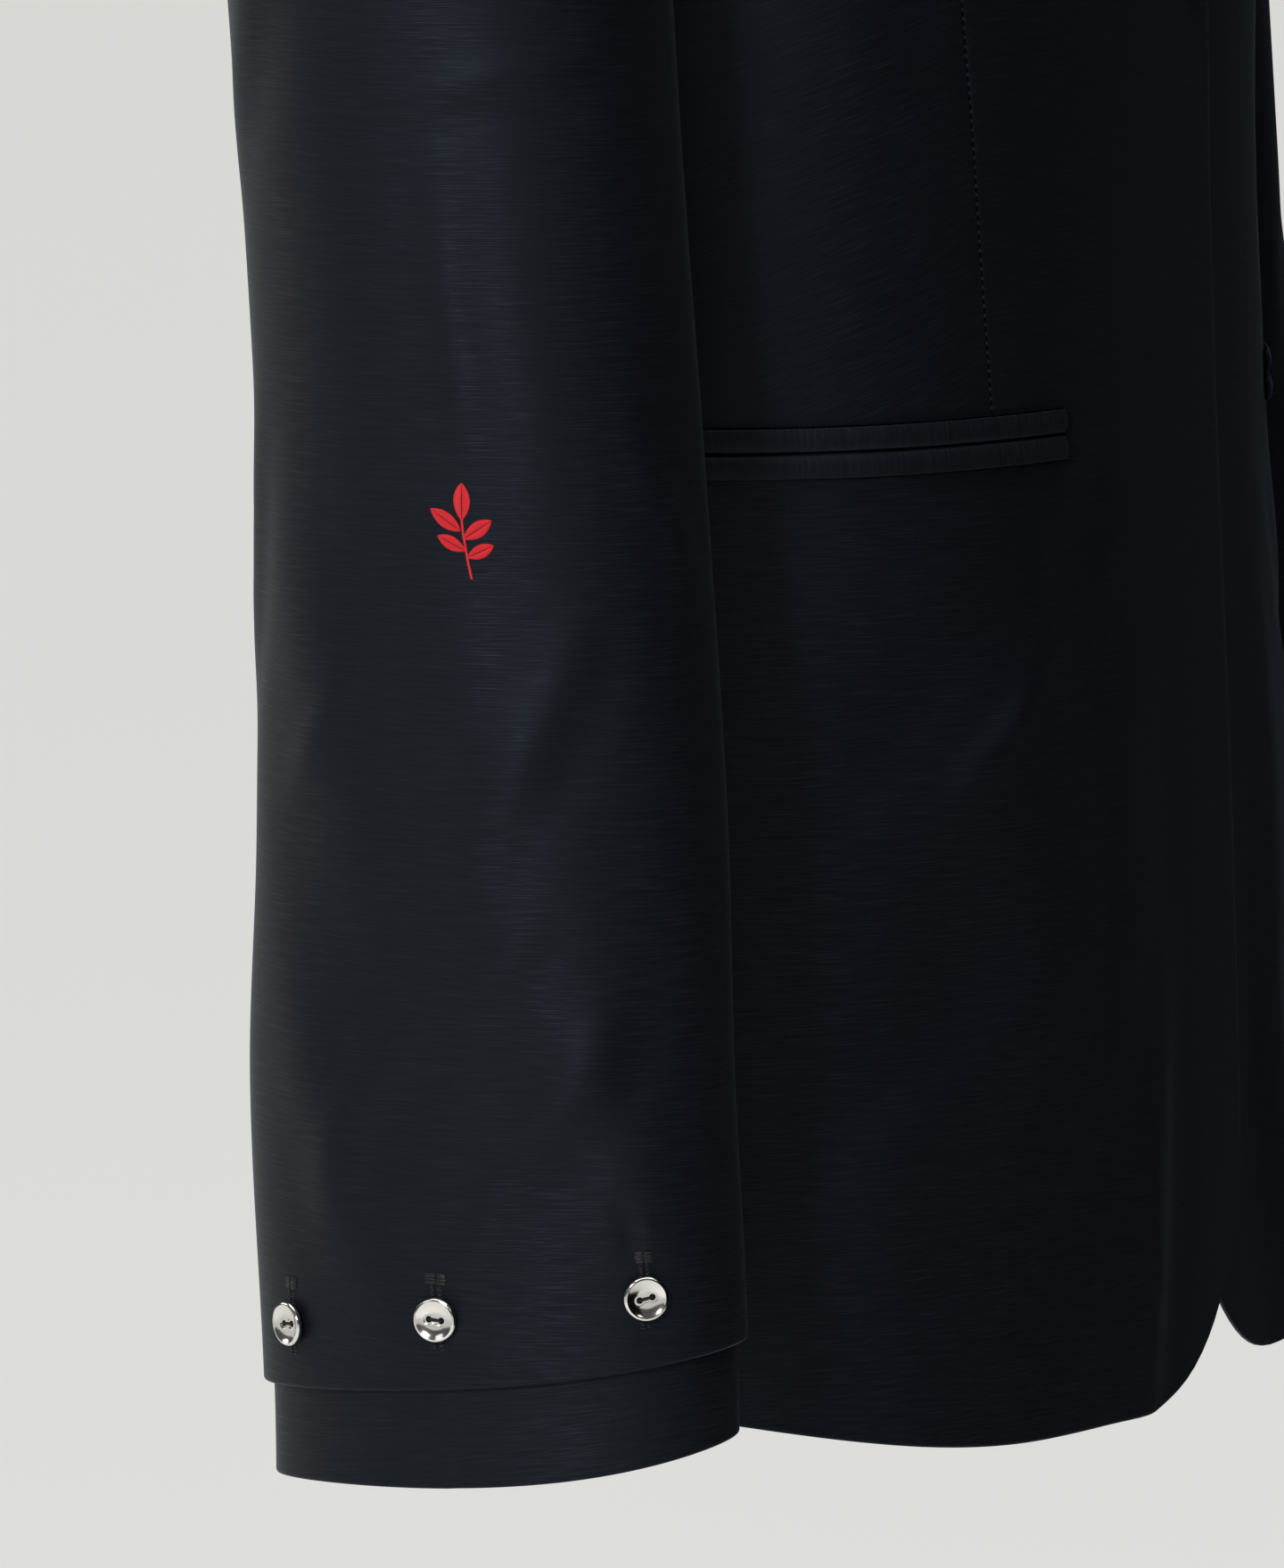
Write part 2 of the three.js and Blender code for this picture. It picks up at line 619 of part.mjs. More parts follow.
// A lapel, laid on its front from the roll line outwards, with a soft roll along that line.
function lapel(side) {
  const surface = bodySurface(side === LEFT);
  const rows = LAPEL.filter((row) => side === RIGHT || row.inner > LEFT_LAPEL_START);
  const lift = (level, distance) => {
    const { from, to } = side === LEFT ? LEFT_ROLL : RIGHT_ROLL;
    const full = ease(from, to, level);
    const hump = Math.sin(Math.PI * Math.min(distance / LAPEL_ROLL_WIDTH, 1));
    return LAPEL_GAP + CLOTH + LAPEL_ROLL * full * hump;
  };
  const laid = (level, x) => {
    const turn = turnAtX(level, x);
    const distance = Math.max(x - rollLineX(level), 0);
    const normal = normalOf(surface, level, turn);
    return surface(level, turn).addScaledVector(normal, lift(level, distance));
  };
  const grid = rows.map((row) => {
    const samples = [];
    for (let j = 0; j < LAPEL_COLUMNS; j += 1) {
      const across = j / (LAPEL_COLUMNS - 1);
      const level = mix(row.inner, row.outer, across);
      const x = rollLineX(level) + row.width * across ** 1.2;
      const point = laid(level, x);
      const normal = normalOf(laid, level, x);
      point.x *= side;
      normal.x *= side;
      samples.push({ point, normal });
    }
    return samples;
  });
  return wallFromGrid(grid, CLOTH);
}

// The neck edge of the body at a collar row: its outer point, the normal there and the
// direction in which the cloth would run on past the edge.
function neckEdge(row) {
  const back = row.face === "back";
  const level = back ? neckLevel(row.neckX) : row.face === "ridge" ? SHOULDER_SEAM - 0.001 : armholeLevel(row.neckTurn);
  const x = row.face === "front" ? rollLineX(level) : row.neckX;
  const surface = bodySurface(false);
  const turn = turnAtX(level, x, back);
  const { point, normal } = sample(surface, level, turn, LEFT);
  const further = back
    ? surface(Math.min(level + 3, SHOULDER_SEAM), turnAtX(level, Math.max(x - 3, 0), true))
    : surface(level, turnAtX(level, x - 3));
  const past = row.face === "ridge" ? new THREE.Vector3(-1, 0, SHOULDER_FALL) : further.sub(point);
  if (row.face === "ridge") point.y = 0;
  past.addScaledVector(normal, -past.dot(normal)).normalize();
  return { point, normal, past };
}

// The fall's edge, laid on the body.
function fallEdge(row) {
  const back = row.face === "back";
  const surface = bodySurface(false);
  const level = Math.min(row.fallLevel, SHOULDER_SEAM - 0.001);
  const { point, normal } = sample(surface, level, turnAtX(level, row.fallX, back), LEFT);
  if (row.face === "ridge") point.y = 0;
  return point.addScaledVector(normal, COLLAR_GAP + CLOTH);
}

// A collar row halfway between two others. Its neck edge lies on the line between theirs.
function collarBetween(a, b) {
  const [edgeA, edgeB] = [neckEdge(a), neckEdge(b)];
  const middle = (key) => edgeA[key].clone().lerp(edgeB[key], 0.5);
  const edge = { point: middle("point"), normal: middle("normal").normalize(), past: middle("past").normalize() };
  const row = { face: b.face === "ridge" ? a.face : b.face, edge };
  for (const key of ["stand", "upright", "fallX", "fallLevel"]) row[key] = (a[key] + b[key]) / 2;
  return row;
}

// One section of the collar, from the neck edge up the stand, over the fold and down the fall.
function collarSection(row) {
  const { point, normal, past } = row.edge ?? neckEdge(row);
  const foot = point.clone().addScaledVector(normal, -CLOTH).addScaledVector(past, SEAM_GAP);
  const fall = fallEdge(row);
  const up = past.clone().multiplyScalar(1 - row.upright).add(new THREE.Vector3(0, 0, row.upright)).normalize();
  const out = fall.clone().sub(foot);
  out.addScaledVector(up, -out.dot(up)).normalize();
  const place = (rise, across) => foot.clone().addScaledVector(up, rise).addScaledVector(out, across);
  const fold = place(row.stand, COLLAR_FOLD_WIDTH / 2);
  const shoulder = place(row.stand - COLLAR_FOLD_WIDTH / 4, COLLAR_FOLD_WIDTH);
  const middle = shoulder.clone().lerp(fall, 0.5).addScaledVector(normal, COLLAR_BULGE);
  const points = [
    foot,
    place(row.stand * 0.5, -COLLAR_LEAN),
    place(row.stand - COLLAR_FOLD_WIDTH / 4, -COLLAR_LEAN / 2),
    fold,
    shoulder,
    middle,
    fall,
  ];
  return { points, footNormal: normal.clone().negate() };
}

// The collar in one piece, round the back of the neck from gorge to gorge.
function collar() {
  const rows = COLLAR.flatMap((row, k) => (k === 0 ? [row] : [collarBetween(COLLAR[k - 1], row), row]));
  const half = rows.map(collarSection);
  const mirrored = (section) => ({
    points: section.points.map((point) => new THREE.Vector3(-point.x, point.y, point.z)),
    footNormal: new THREE.Vector3(-section.footNormal.x, section.footNormal.y, section.footNormal.z),
  });
  const sections = [...half.slice(1).reverse(), ...half.map(mirrored)];
  const grid = sections.map((section, i) => section.points.map((point, j) => {
    const ahead = sections[Math.min(i + 1, sections.length - 1)].points[j];
    const behind = sections[Math.max(i - 1, 0)].points[j];
    const along = ahead.clone().sub(behind);
    const next = section.points[Math.min(j + 1, section.points.length - 1)];
    const last = section.points[Math.max(j - 1, 0)];
    const normal = along.cross(next.clone().sub(last)).normalize().negate();
    return { point, normal: j === 0 ? section.footNormal : normal };
  }));
  return wallFromGrid(grid, CLOTH);
}

// The sleeve's section at a level, as a point at a turn round the arm.
function sleeveForm(level, turn) {
  const read = (column) => lookUp(SLEEVE_RINGS, "level", level, column);
  const sine = Math.sin(turn * DEGREES);
  const cosine = Math.cos(turn * DEGREES);
  return new THREE.Vector3(read("x") + read("depth") * cosine, read("y") - read("half") * sine, level);
}

function wrapTurn(turn) {
  return turn - 360 * Math.round(turn / 360);
}

// Turns round the arm run the other way from turns round the body, so the normal is reversed.
function sleeveNormal(surface, level, turn) {
  return normalOf(surface, level, turn).negate();
}

// The sleeve below the cap, with its folds, let in or out by a lift.
function sleeveTube(lift = 0) {
  return (level, turn) => {
    let height = lift;
    for (const fold of SLEEVE_FOLDS) {
      height += foldHeight(fold, level - fold.level, wrapTurn(turn - fold.turn));
    }
    return sleeveForm(level, turn).addScaledVector(sleeveNormal(sleeveForm, level, turn), height);
  };
}

// The cap: it starts outward at the armhole and turns down into the sleeve.
function sleeveCap(share, turn) {
  const start = armholePoint(turn);
  start.x += SEAM_GAP;
  const end = sleeveTube()(SLEEVE_TOP, turn);
  const out = Math.sin(share * 90 * DEGREES);
  const down = 1 - Math.cos(share * 90 * DEGREES);
  return new THREE.Vector3(mix(start.x, end.x, out), mix(start.y, end.y, (out + down) / 2), mix(start.z, end.z, down));
}

// Outward normal of the cap, whose share runs down the sleeve.
function capNormal(share, turn) {
  const step = 0.01;
  const from = Math.max(share - step, 0);
  const to = Math.min(share + step, 1);
  const down = sleeveCap(to, turn).sub(sleeveCap(from, turn));
  const round = sleeveCap(share, turn + STEP).sub(sleeveCap(share, turn - STEP));
  return round.cross(down).normalize();
}

// The level of a cuff's edge round the arm: it rises towards the front.
function cuffEdgeLevel(edge, turn) {
  const middle = lookUp(SLEEVE_RINGS, "level", edge, "y");
  return edge + CUFF_TILT * (middle - sleeveForm(edge, turn).y);
}

// The two pieces of a sleeve are strips of one tube, from one seam to the other.
function sleevePiece(side, fromTurn, toTurn) {
  const tube = sleeveTube();
  const turns = [];
  for (let turn = fromTurn; turn <= toTurn; turn += TURN_STEP) turns.push(turn);
  const nudged = turns.map((turn, j) => {
    if (j === 0) return nudgeTurn(tube, SLEEVE_HEM, turn, SEAM_GAP / 2);
    return j === turns.length - 1 ? nudgeTurn(tube, SLEEVE_HEM, turn, -SEAM_GAP / 2) : turn;
  });
  const grid = [];
  for (let i = 0; i < CAP_ROWS; i += 1) {
    const share = i / CAP_ROWS;
    grid.push(nudged.map((turn) => ({ point: sleeveCap(share, turn), normal: capNormal(share, turn) })));
  }
  const lastLevel = SLEEVE_LEVELS[SLEEVE_LEVELS.length - 1];
  for (const rowLevel of [SLEEVE_TOP, ...SLEEVE_LEVELS, SLEEVE_HEM]) {
    grid.push(nudged.map((turn) => {
      const tilt = ease(CUFF_TILT_START, lastLevel, rowLevel);
      const level = mix(rowLevel, cuffEdgeLevel(rowLevel, turn), tilt);
      return { point: tube(level, turn), normal: sleeveNormal(tube, level, turn) };
    }));
  }
  for (const row of grid) {
    for (const { point, normal } of row) {
      point.x *= side;
      normal.x *= side;
    }
  }
  return wallFromGrid(grid, CLOTH);
}

// The inner cuff: a ring inside the sleeve that shows below its edge.
function innerCuff(side) {
  const grid = [...INNER_CUFF_LEVELS, INNER_CUFF_HEM].map((rowLevel, i) => {
    const row = [];
    const inset = i === 0 ? INNER_CUFF_TOP_INSET : INNER_CUFF_INSET;
    const tube = sleeveTube(-inset);
    for (let turn = 0; turn < 360; turn += TURN_STEP) {
      const level = cuffEdgeLevel(rowLevel, turn);
      const point = tube(level, turn);
      const normal = sleeveNormal(tube, level, turn);
      point.x *= side;
      normal.x *= side;
      row.push({ point, normal });
    }
    return row;
  });
  return wallFromGrid(grid, INNER_CUFF_CLOTH, () => true, true);
}

// One welt of a pocket, above or below the slit.
function pocketWelt(side, above) {
  const surface = bodySurface(side === LEFT);
  const low = POCKET_LEVEL + (above ? WELT_GAP / 2 : -WELT_GAP / 2 - WELT_HEIGHT);
  const grid = [low, low + WELT_HEIGHT / 2, low + WELT_HEIGHT].map((level, i) => {
    const row = [];
    const start = turnAtX(level, POCKET_FRONT_X);
    const end = turnAtY(level, -POCKET_REAR_Y);
    const crown = i === 1 ? WELT_CROWN : 0;
    for (let j = 0; j <= WELT_COLUMNS; j += 1) {
      row.push(sample(surface, level, mix(start, end, j / WELT_COLUMNS), side, LAY_GAP + WELT_CLOTH + crown));
    }
    return row;
  });
  return wallFromGrid(grid, WELT_CLOTH);
}

// A round button with a raised rim round a dished face, its back on a point and facing out.
function button(point, normal, radius) {
  const size = radius / BUTTON_RADIUS;
  const rimTop = BUTTON_HEIGHT * size;
  const profile = [
    [0, 0],
    [radius * BUTTON_BACK_SHARE, 0],
    [radius, rimTop * BUTTON_SIDE_LOW],
    [radius, rimTop * BUTTON_SIDE_HIGH],
    [radius - (BUTTON_RIM * size) / 2, rimTop],
    [radius - BUTTON_RIM * size, rimTop * BUTTON_RIM_FOOT],
    [radius * BUTTON_FLOOR_SHARE, rimTop - BUTTON_DISH * size],
    [0, rimTop - BUTTON_DISH * size],
  ].map(([r, y]) => new THREE.Vector2(r, y));
  const mesh = new THREE.Mesh(new THREE.LatheGeometry(profile, BUTTON_SIDES), buttonMaterial);
  mesh.position.copy(point);
  mesh.quaternion.setFromUnitVectors(new THREE.Vector3(0, 1, 0), normal);
  return mesh;
}

function cuffButton(side, turn) {
  const tube = sleeveTube();
  const level = cuffEdgeLevel(SLEEVE_HEM, turn) + CUFF_BUTTON_ABOVE_HEM;
  const normal = sleeveNormal(tube, level, turn);
  const point = tube(level, turn).addScaledVector(normal, SEAM_GAP);
  point.x *= side;
  normal.x *= side;
  return button(point, normal, BUTTON_RADIUS);
}

function frontButton() {
  const turn = turnAtX(FRONT_BUTTON_LEVEL, FRONT_BUTTON_X);
  const { point, normal } = sample(bodySurface(false), FRONT_BUTTON_LEVEL, turn, LEFT);
  return button(point.addScaledVector(normal, SEAM_GAP), normal, FRONT_BUTTON_RADIUS);
}

const garment = new THREE.Group();
for (const side of [RIGHT, LEFT]) {
  addMesh(garment, `front_${sideName(side)}`, frontPanel(side));
  addMesh(garment, `side_front_${sideName(side)}`, sideFrontPanel(side));
  addMesh(garment, `side_panel_${sideName(side)}`, sidePanel(side));
  addMesh(garment, `back_${sideName(side)}`, backPanel(side));
  addMesh(garment, `lapel_${sideName(side)}`, lapel(side));
  addMesh(garment, `sleeve_upper_${sideName(side)}`, sleevePiece(side, BACK_SEAM_TURN - 360, FRONT_SEAM_TURN));
  addMesh(garment, `sleeve_under_${sideName(side)}`, sleevePiece(side, FRONT_SEAM_TURN, BACK_SEAM_TURN));
  addMesh(garment, `inner_cuff_${sideName(side)}`, innerCuff(side));
  addMesh(garment, `pocket_welt_top_${sideName(side)}`, pocketWelt(side, true), weltMaterial);
  addMesh(garment, `pocket_welt_bottom_${sideName(side)}`, pocketWelt(side, false), weltMaterial);
  CUFF_BUTTON_TURNS.forEach((turn, k) => {
    const piece = cuffButton(side, turn);
    piece.name = `cuff_button_${sideName(side)}_${k + 1}`;
    garment.add(piece);
  });
}
addMesh(garment, "collar", collar());
const frontFastening = frontButton();
frontFastening.name = "front_button";
garment.add(frontFastening);

export default garment;
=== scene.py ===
"""The looks of a single-breasted blazer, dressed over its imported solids.

Each panel of cloth is a thin shell on the garment's form, with its creases, seams and folded
edges in the mesh. Sizes inside the classes are in millimetres, in the frame of the solids, and
are turned to metres where a mesh is made.
"""

import logging
import math
from dataclasses import dataclass, field
from enum import Enum
from typing import Callable, Optional

import bmesh
import bpy
import numpy as np
from mathutils import Matrix, Vector

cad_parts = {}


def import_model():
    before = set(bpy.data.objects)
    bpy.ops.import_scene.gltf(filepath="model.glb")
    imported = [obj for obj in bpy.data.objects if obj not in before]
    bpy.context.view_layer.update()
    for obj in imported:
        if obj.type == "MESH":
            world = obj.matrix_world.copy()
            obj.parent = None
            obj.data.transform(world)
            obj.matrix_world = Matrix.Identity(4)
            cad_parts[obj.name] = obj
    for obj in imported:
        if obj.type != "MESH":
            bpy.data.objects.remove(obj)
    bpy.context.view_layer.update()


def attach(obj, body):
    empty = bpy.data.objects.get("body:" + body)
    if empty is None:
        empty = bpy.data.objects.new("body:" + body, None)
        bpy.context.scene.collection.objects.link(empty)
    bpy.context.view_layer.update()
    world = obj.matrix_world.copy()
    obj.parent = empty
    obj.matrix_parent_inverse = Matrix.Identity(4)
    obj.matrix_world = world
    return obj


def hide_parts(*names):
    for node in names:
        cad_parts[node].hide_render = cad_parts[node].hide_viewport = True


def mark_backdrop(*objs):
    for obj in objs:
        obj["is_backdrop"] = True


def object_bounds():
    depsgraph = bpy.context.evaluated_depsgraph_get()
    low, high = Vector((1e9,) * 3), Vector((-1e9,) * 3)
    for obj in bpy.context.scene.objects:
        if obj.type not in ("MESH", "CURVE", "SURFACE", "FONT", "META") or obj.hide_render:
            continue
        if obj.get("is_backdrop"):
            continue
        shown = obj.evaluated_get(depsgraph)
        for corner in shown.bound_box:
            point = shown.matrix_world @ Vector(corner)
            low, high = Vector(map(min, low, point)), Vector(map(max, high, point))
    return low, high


LOG = logging.getLogger("blazer")
MM = 0.001
BODY = "root"
SUITING = "suiting"
WELT_SLOT = "welt_cloth"
TURN_STEP = 0.5
LEVEL_STEP = 0.5
SEED = 7
LEAST_SHEET = 0.01
FIRST_ROW, LAST_ROW = (0, slice(None)), (-1, slice(None))
FIRST_COLUMN, LAST_COLUMN = (slice(None), 0), (slice(None), -1)

Array = np.ndarray
Surface = Callable[[Array, Array], Array]


class Side(Enum):
    """The wearer's two sides, with the sign of X on each."""

    RIGHT = -1
    LEFT = 1

    @property
    def label(self) -> str:
        """The side's word in the names of nodes."""
        return self.name.lower()


class Held(Enum):
    """How a sheet of cloth is held."""

    DRAPED = "draped"
    FOLDED = "folded"


def look_up(keys: list[float], values: list[float], at: Array) -> Array:
    """Reads a short table on a smooth curve through its rows.

    Args:
        keys: The rows' keys, rising.
        values: One value for each key.
        at: Where to read.

    Returns:
        The values there, held at the ends.
    """
    key = np.asarray(keys, float)
    value = np.asarray(values, float)
    x = np.clip(np.asarray(at, float), key[0], key[-1])
    last = len(key) - 1
    i = np.clip(np.searchsorted(key, x, side="right") - 1, 0, last - 1)
    slopes = np.empty(last + 1)
    for k in range(last + 1):
        low, high = max(k - 1, 0), min(k + 1, last)
        slopes[k] = (value[high] - value[low]) / (key[high] - key[low])
    span = key[i + 1] - key[i]
    t = (x - key[i]) / span
    square, cube = t * t, t * t * t
    near = (2 * cube - 3 * square + 1) * value[i] + (cube - 2 * square + t) * span * slopes[i]
    far = (3 * square - 2 * cube) * value[i + 1] + (cube - square) * span * slopes[i + 1]
    return near + far


def mix(a: Array, b: Array, t: Array) -> Array:
    """The value a share t of the way from a to b."""
    return a + (b - a) * t


def ease(low: float, high: float, value: Array) -> Array:
    """A smooth step from 0 at low to 1 at high."""
    t = np.clip((np.asarray(value, float) - low) / (high - low), 0, 1)
    return t * t * (3 - 2 * t)


def unit(v: Array) -> Array:
    """The vectors of an array at length one."""
    return v / np.maximum(np.linalg.norm(v, axis=-1, keepdims=True), 1e-9)


def normal_of(surface: Surface, level: Array, turn: Array, reverse: bool = False) -> Array:
    """The outward normals of a surface of level and turn.

    Args:
        surface: The surface's function.
        level: The levels to read at.
        turn: The turns to read at.
        reverse: True where turns run towards the front, as on a sleeve.

    Returns:
        Unit vectors, one for each place.
    """
    top = np.minimum(level + LEVEL_STEP, BodyForm.SHOULDER_SEAM - 0.01)
    up = surface(top, turn) - surface(top - 2 * LEVEL_STEP, turn)
    around = surface(level, turn + TURN_STEP) - surface(level, turn - TURN_STEP)
    out = unit(np.cross(around, up))
    return -out if reverse else out


@dataclass(frozen=True)
class Fold:
    """A large soft fold, the same in the solids, placed by its middle.

    Args:
        level: The level of its middle.
        across: How far round it lies, as the form counts it.
        width: Half its width.
        length: Half its length.
        lean: How far it leans over its length.
        rise: How far it stands out, or in if negative.
        back: True where it lies on the body's back.
    """

    level: float
    across: float
    width: float
    length: float
    lean: float
    rise: float
    back: bool = False

    def height(self, along: Array, across: Array) -> Array:
        """How far the cloth stands out at places given from the fold's middle."""
        run = along / self.length
        return self.rise * np.exp(-(run**2) - ((across - self.lean * run) / self.width) ** 2)


@dataclass(frozen=True)
class Crease:
    """A soft crease along a line between two places.

    Args:
        start: Level and distance across of its upper end.
        end: Level and distance across of its lower end.
        width: Half its width in millimetres.
        rise: How far it stands out, or in if negative.
        back: True where it lies on the body's back.
        sharp: Above 1 for a crease with a crisper top.
    """

    start: tuple[float, float]
    end: tuple[float, float]
    width: float
    rise: float
    back: bool = False
    sharp: float = 1.0

    def height(self, level: Array, across: Array, pitch: float = 1.0) -> Array:
        """How far the cloth stands out.

        Args:
            level: Levels, in millimetres.
            across: Places across, in the table's unit.
            pitch: Millimetres for each unit across.

        Returns:
            Heights in millimetres, with a shallow trough beside the ridge.
        """
        a = np.array([self.start[0], self.start[1] * pitch])
        line = np.array([self.end[0], self.end[1] * pitch]) - a
        size = float(np.hypot(*line))
        run = ((level - a[0]) * line[0] + (across * pitch - a[1]) * line[1]) / size**2
        off = ((level - a[0]) * line[1] - (across * pitch - a[1]) * line[0]) / size
        ends = ease(-0.25, 0.35, run) * (1 - ease(0.6, 1.3, run))
        bend = 0.18 * self.width * np.sin(run * 5.0 + self.start[0])
        q = np.abs((off + bend) / self.width) ** self.sharp
        beside = np.exp(-(((off + bend) / self.width - 1.5) ** 2))
        return self.rise * ends * (np.exp(-(q**2)) - 0.45 * beside)


@dataclass(frozen=True)
class Waves:
    """The slight unevenness of hanging cloth, as a sum of faint waves.

    Args:
        height: Its usual height in millimetres.
        seed: The seed of the draw.
        count: How many waves there are.
    """

    height: float
    seed: int
    count: int = 12

    # The ranges that each wave's turns per millimetre, direction and start are drawn from.
    RATES = (0.03, 0.12)
    DIRECTIONS = (-0.5, 1.2)
    STARTS = (0, 6.28)
    UPRIGHT = 0.6

    def lift(self, level: Array, across: Array) -> Array:
        """How far the cloth stands out, in millimetres.

        Args:
            level: Levels.
            across: Distances across.

        Returns:
            Heights, alike in shape.
        """
        random = np.random.default_rng(self.seed)
        total = np.zeros(np.broadcast(level, across).shape)
        for _ in range(self.count):
            rate = random.uniform(*self.RATES)
            angle = random.uniform(*self.DIRECTIONS)
            start = random.uniform(*self.STARTS)
            run = across * math.cos(angle) + level * math.sin(angle) * self.UPRIGHT
            total += np.sin(rate * run + start)
        return self.height * total / math.sqrt(self.count)


class BodyForm:
    """The garment's body: its sections, seams and folds, as in the solids."""

    UNDERARM = -235.0
    SHOULDER_SEAM = 15.0
    SEAM_PEAK = 31.2
    SHOULDER_FALL = 0.3667
    PEAK_ROUNDING = 40.0
    FRONT_CROWN = 1.65
    BACK_CROWN = 1.8
    CHEST_FRONT = 137.0
    CHEST_BACK = 142.0
    POWER = 2.35
    NECK_HALF = 75.0
    NECK_DROP = 0.16
    LAP = 20.0
    BREAK = -295.0
    CORNER_RADIUS = 80.0
    FRONT_HEM = -734.0
    SIDE_HEM = -715.0
    BACK_HEM = -719.0
    SIDE_SEAM_FRONT_Y = 28.0
    SIDE_SEAM_BACK_Y = 50.0
    POCKET_LEVEL = -438.0
    UNDERLAP_EASE = 70.0

    ROUND_PITCH = 3.1
    UNEVEN = Waves(0.32, SEED)

    RING_LEVELS = [-735, -640, -560, -437, -345, -235]
    RING_HALF = [206, 203, 200, 195.5, 194, 196]
    RING_FRONT = [152, 149, 146.5, 140.5, 137.5, 137]
    RING_BACK = [121, 122, 124, 129, 138, 142]
    UPPER_RISE = [0, 0.2, 0.45, 0.75, 1]
    UPPER_HALF = [196, 203, 215, 232, 245.7]
    ARMHOLE_TURN = [0, 60, 96, 127, 147, 180]
    ARMHOLE_REACH = [0.49, 0.615, 0.647, 0.52, 0.321, 0]
    UNDERLAP_LEVELS = [-735, -335, -290, -215, -165]
    UNDERLAP_DEPTHS = [2.3, 2.3, 5.6, 5.6, 0]
    DART_LEVELS = [-735, -438, -309, -235, -198]
    DART_XS = [121, 120, 128, 141, 160]

    FOLDS = [
        Fold(-640, 66, 16, 150, -6, 3.4),
        Fold(-560, 150, 34, 170, 20, -3.0),
        Fold(-520, 122, 30, 120, 34, 3.0),
        Fold(-600, 60, 30, 170, 10, 4.2, back=True),
        Fold(-590, 125, 32, 150, -12, -3.4, back=True),
        Fold(-330, 118, 30, 120, -30, 3.2, back=True),
        Fold(-180, 120, 26, 80, 40, -2.4),
    ]

    def rise(self, level: Array) -> Array:
        """The share of the way from the underarm to the shoulder seam."""
        return np.clip((level - self.UNDERARM) / (self.SHOULDER_SEAM - self.UNDERARM), 0, 1)

    def section(self, level: Array) -> tuple[Array, Array, Array]:
        """Half-width, front depth and back depth of the sections at levels."""
        level = np.asarray(level, float)
        rise = self.rise(level)
        low = rise <= 0
        crown = [np.maximum(1 - rise**p, 0) ** (1 / p) for p in (self.FRONT_CROWN, self.BACK_CROWN)]
        half = look_up(self.RING_LEVELS, self.RING_HALF, level)
        front = look_up(self.RING_LEVELS, self.RING_FRONT, level)
        back = look_up(self.RING_LEVELS, self.RING_BACK, level)
        upper = look_up(self.UPPER_RISE, self.UPPER_HALF, rise)
        return (
            np.where(low, half, upper),
            np.where(low, front, self.CHEST_FRONT * crown[0]),
            np.where(low, back, self.CHEST_BACK * crown[1]),
        )

    def turn_at_x(self, level: Array, x: Array, back: bool = False) -> Array:
        """The turn at which a level's section lies a distance x towards the side."""
        share = np.minimum(np.abs(x) / self.section(level)[0], 1)
        turn = np.sign(x) * np.degrees(np.arcsin(share ** (self.POWER / 2)))
        return 180 - turn if back else turn

    def turn_at_y(self, level: Array, y: float) -> Array:
        """The turn at which a level's section lies at a depth y."""
        depth = np.maximum(self.section(level)[1 if y < 0 else 2], 0.01)
        turn = np.degrees(np.arccos(np.minimum(abs(y) / depth, 1) ** (self.POWER / 2)))
        return turn if y < 0 else 180 - turn

    def form(self, level: Array, turn: Array) -> Array:
        """The bare form, without folds, with x counted towards the side."""
        half, front, back = self.section(level)
        sine, cosine = np.sin(np.radians(turn)), np.cos(np.radians(turn))
        x = half * np.sign(sine) * np.abs(sine) ** (2 / self.POWER)
        reach = np.abs(cosine) ** (2 / self.POWER)
        y = np.where(cosine > 0, -front * reach, back * reach)
        seam = self.SEAM_PEAK - self.SHOULDER_FALL * np.hypot(x, self.PEAK_ROUNDING)
        z = np.where(level <= self.UNDERARM, level, mix(self.UNDERARM, seam, self.rise(level)))
        return np.stack(np.broadcast_arrays(x, y, z), axis=-1)

    def roll_line_x(self, level: Array) -> Array:
        """Where the front edge or roll line lies; past the centre x is negative."""
        share = (level - self.BREAK) / (self.SHOULDER_SEAM - self.BREAK)
        return np.where(level <= self.BREAK, -self.LAP, mix(-self.LAP, self.NECK_HALF, share))

    def dart_x(self, level: Array) -> Array:
        """How far towards the side the dart lies, up to its end at the armhole."""
        end = float(self.armhole_level(120.0))
        tip = self.form(np.array(end), self.armhole_turn(np.array(end), 120.0, False))
        return look_up(self.DART_LEVELS + [end], self.DART_XS + [float(tip[0]) - 1.4], level)

    def surface(self, under: bool = False, creases: tuple[Crease, ...] = ()) -> Surface:
        """The body with its folds.

        Args:
            under: True for the front that passes under the other at the closure.
            creases: Finer creases, placed by level and distance x.

        Returns:
            The surface as a function of level and turn.
        """

        def at(level: Array, turn: Array) -> Array:
            bare = self.form(level, turn)
            back = np.cos(np.radians(turn)) < 0
            x = bare[..., 0]
            lift = np.zeros(x.shape)
            for fold in self.FOLDS:
                lift += np.where(back == fold.back, fold.height(level - fold.level, x - fold.across), 0)
            for crease in creases:
                lift += np.where(back == crease.back, crease.height(level, x), 0)
            lift += self.UNEVEN.lift(level, turn * self.ROUND_PITCH) * ease(20, 70, np.where(back, 70, x))
            if under:
                end = np.maximum(-self.roll_line_x(level), 0) + 1.5
                depth = look_up(self.UNDERLAP_LEVELS, self.UNDERLAP_DEPTHS, level)
                t = np.clip((x - end) / self.UNDERLAP_EASE, 0, 1)
                lift -= np.where(back, 0, depth * (1 - t * t * (3 - 2 * t)))
            return bare + normal_of(self.form, level, turn) * lift[..., None]

        return at

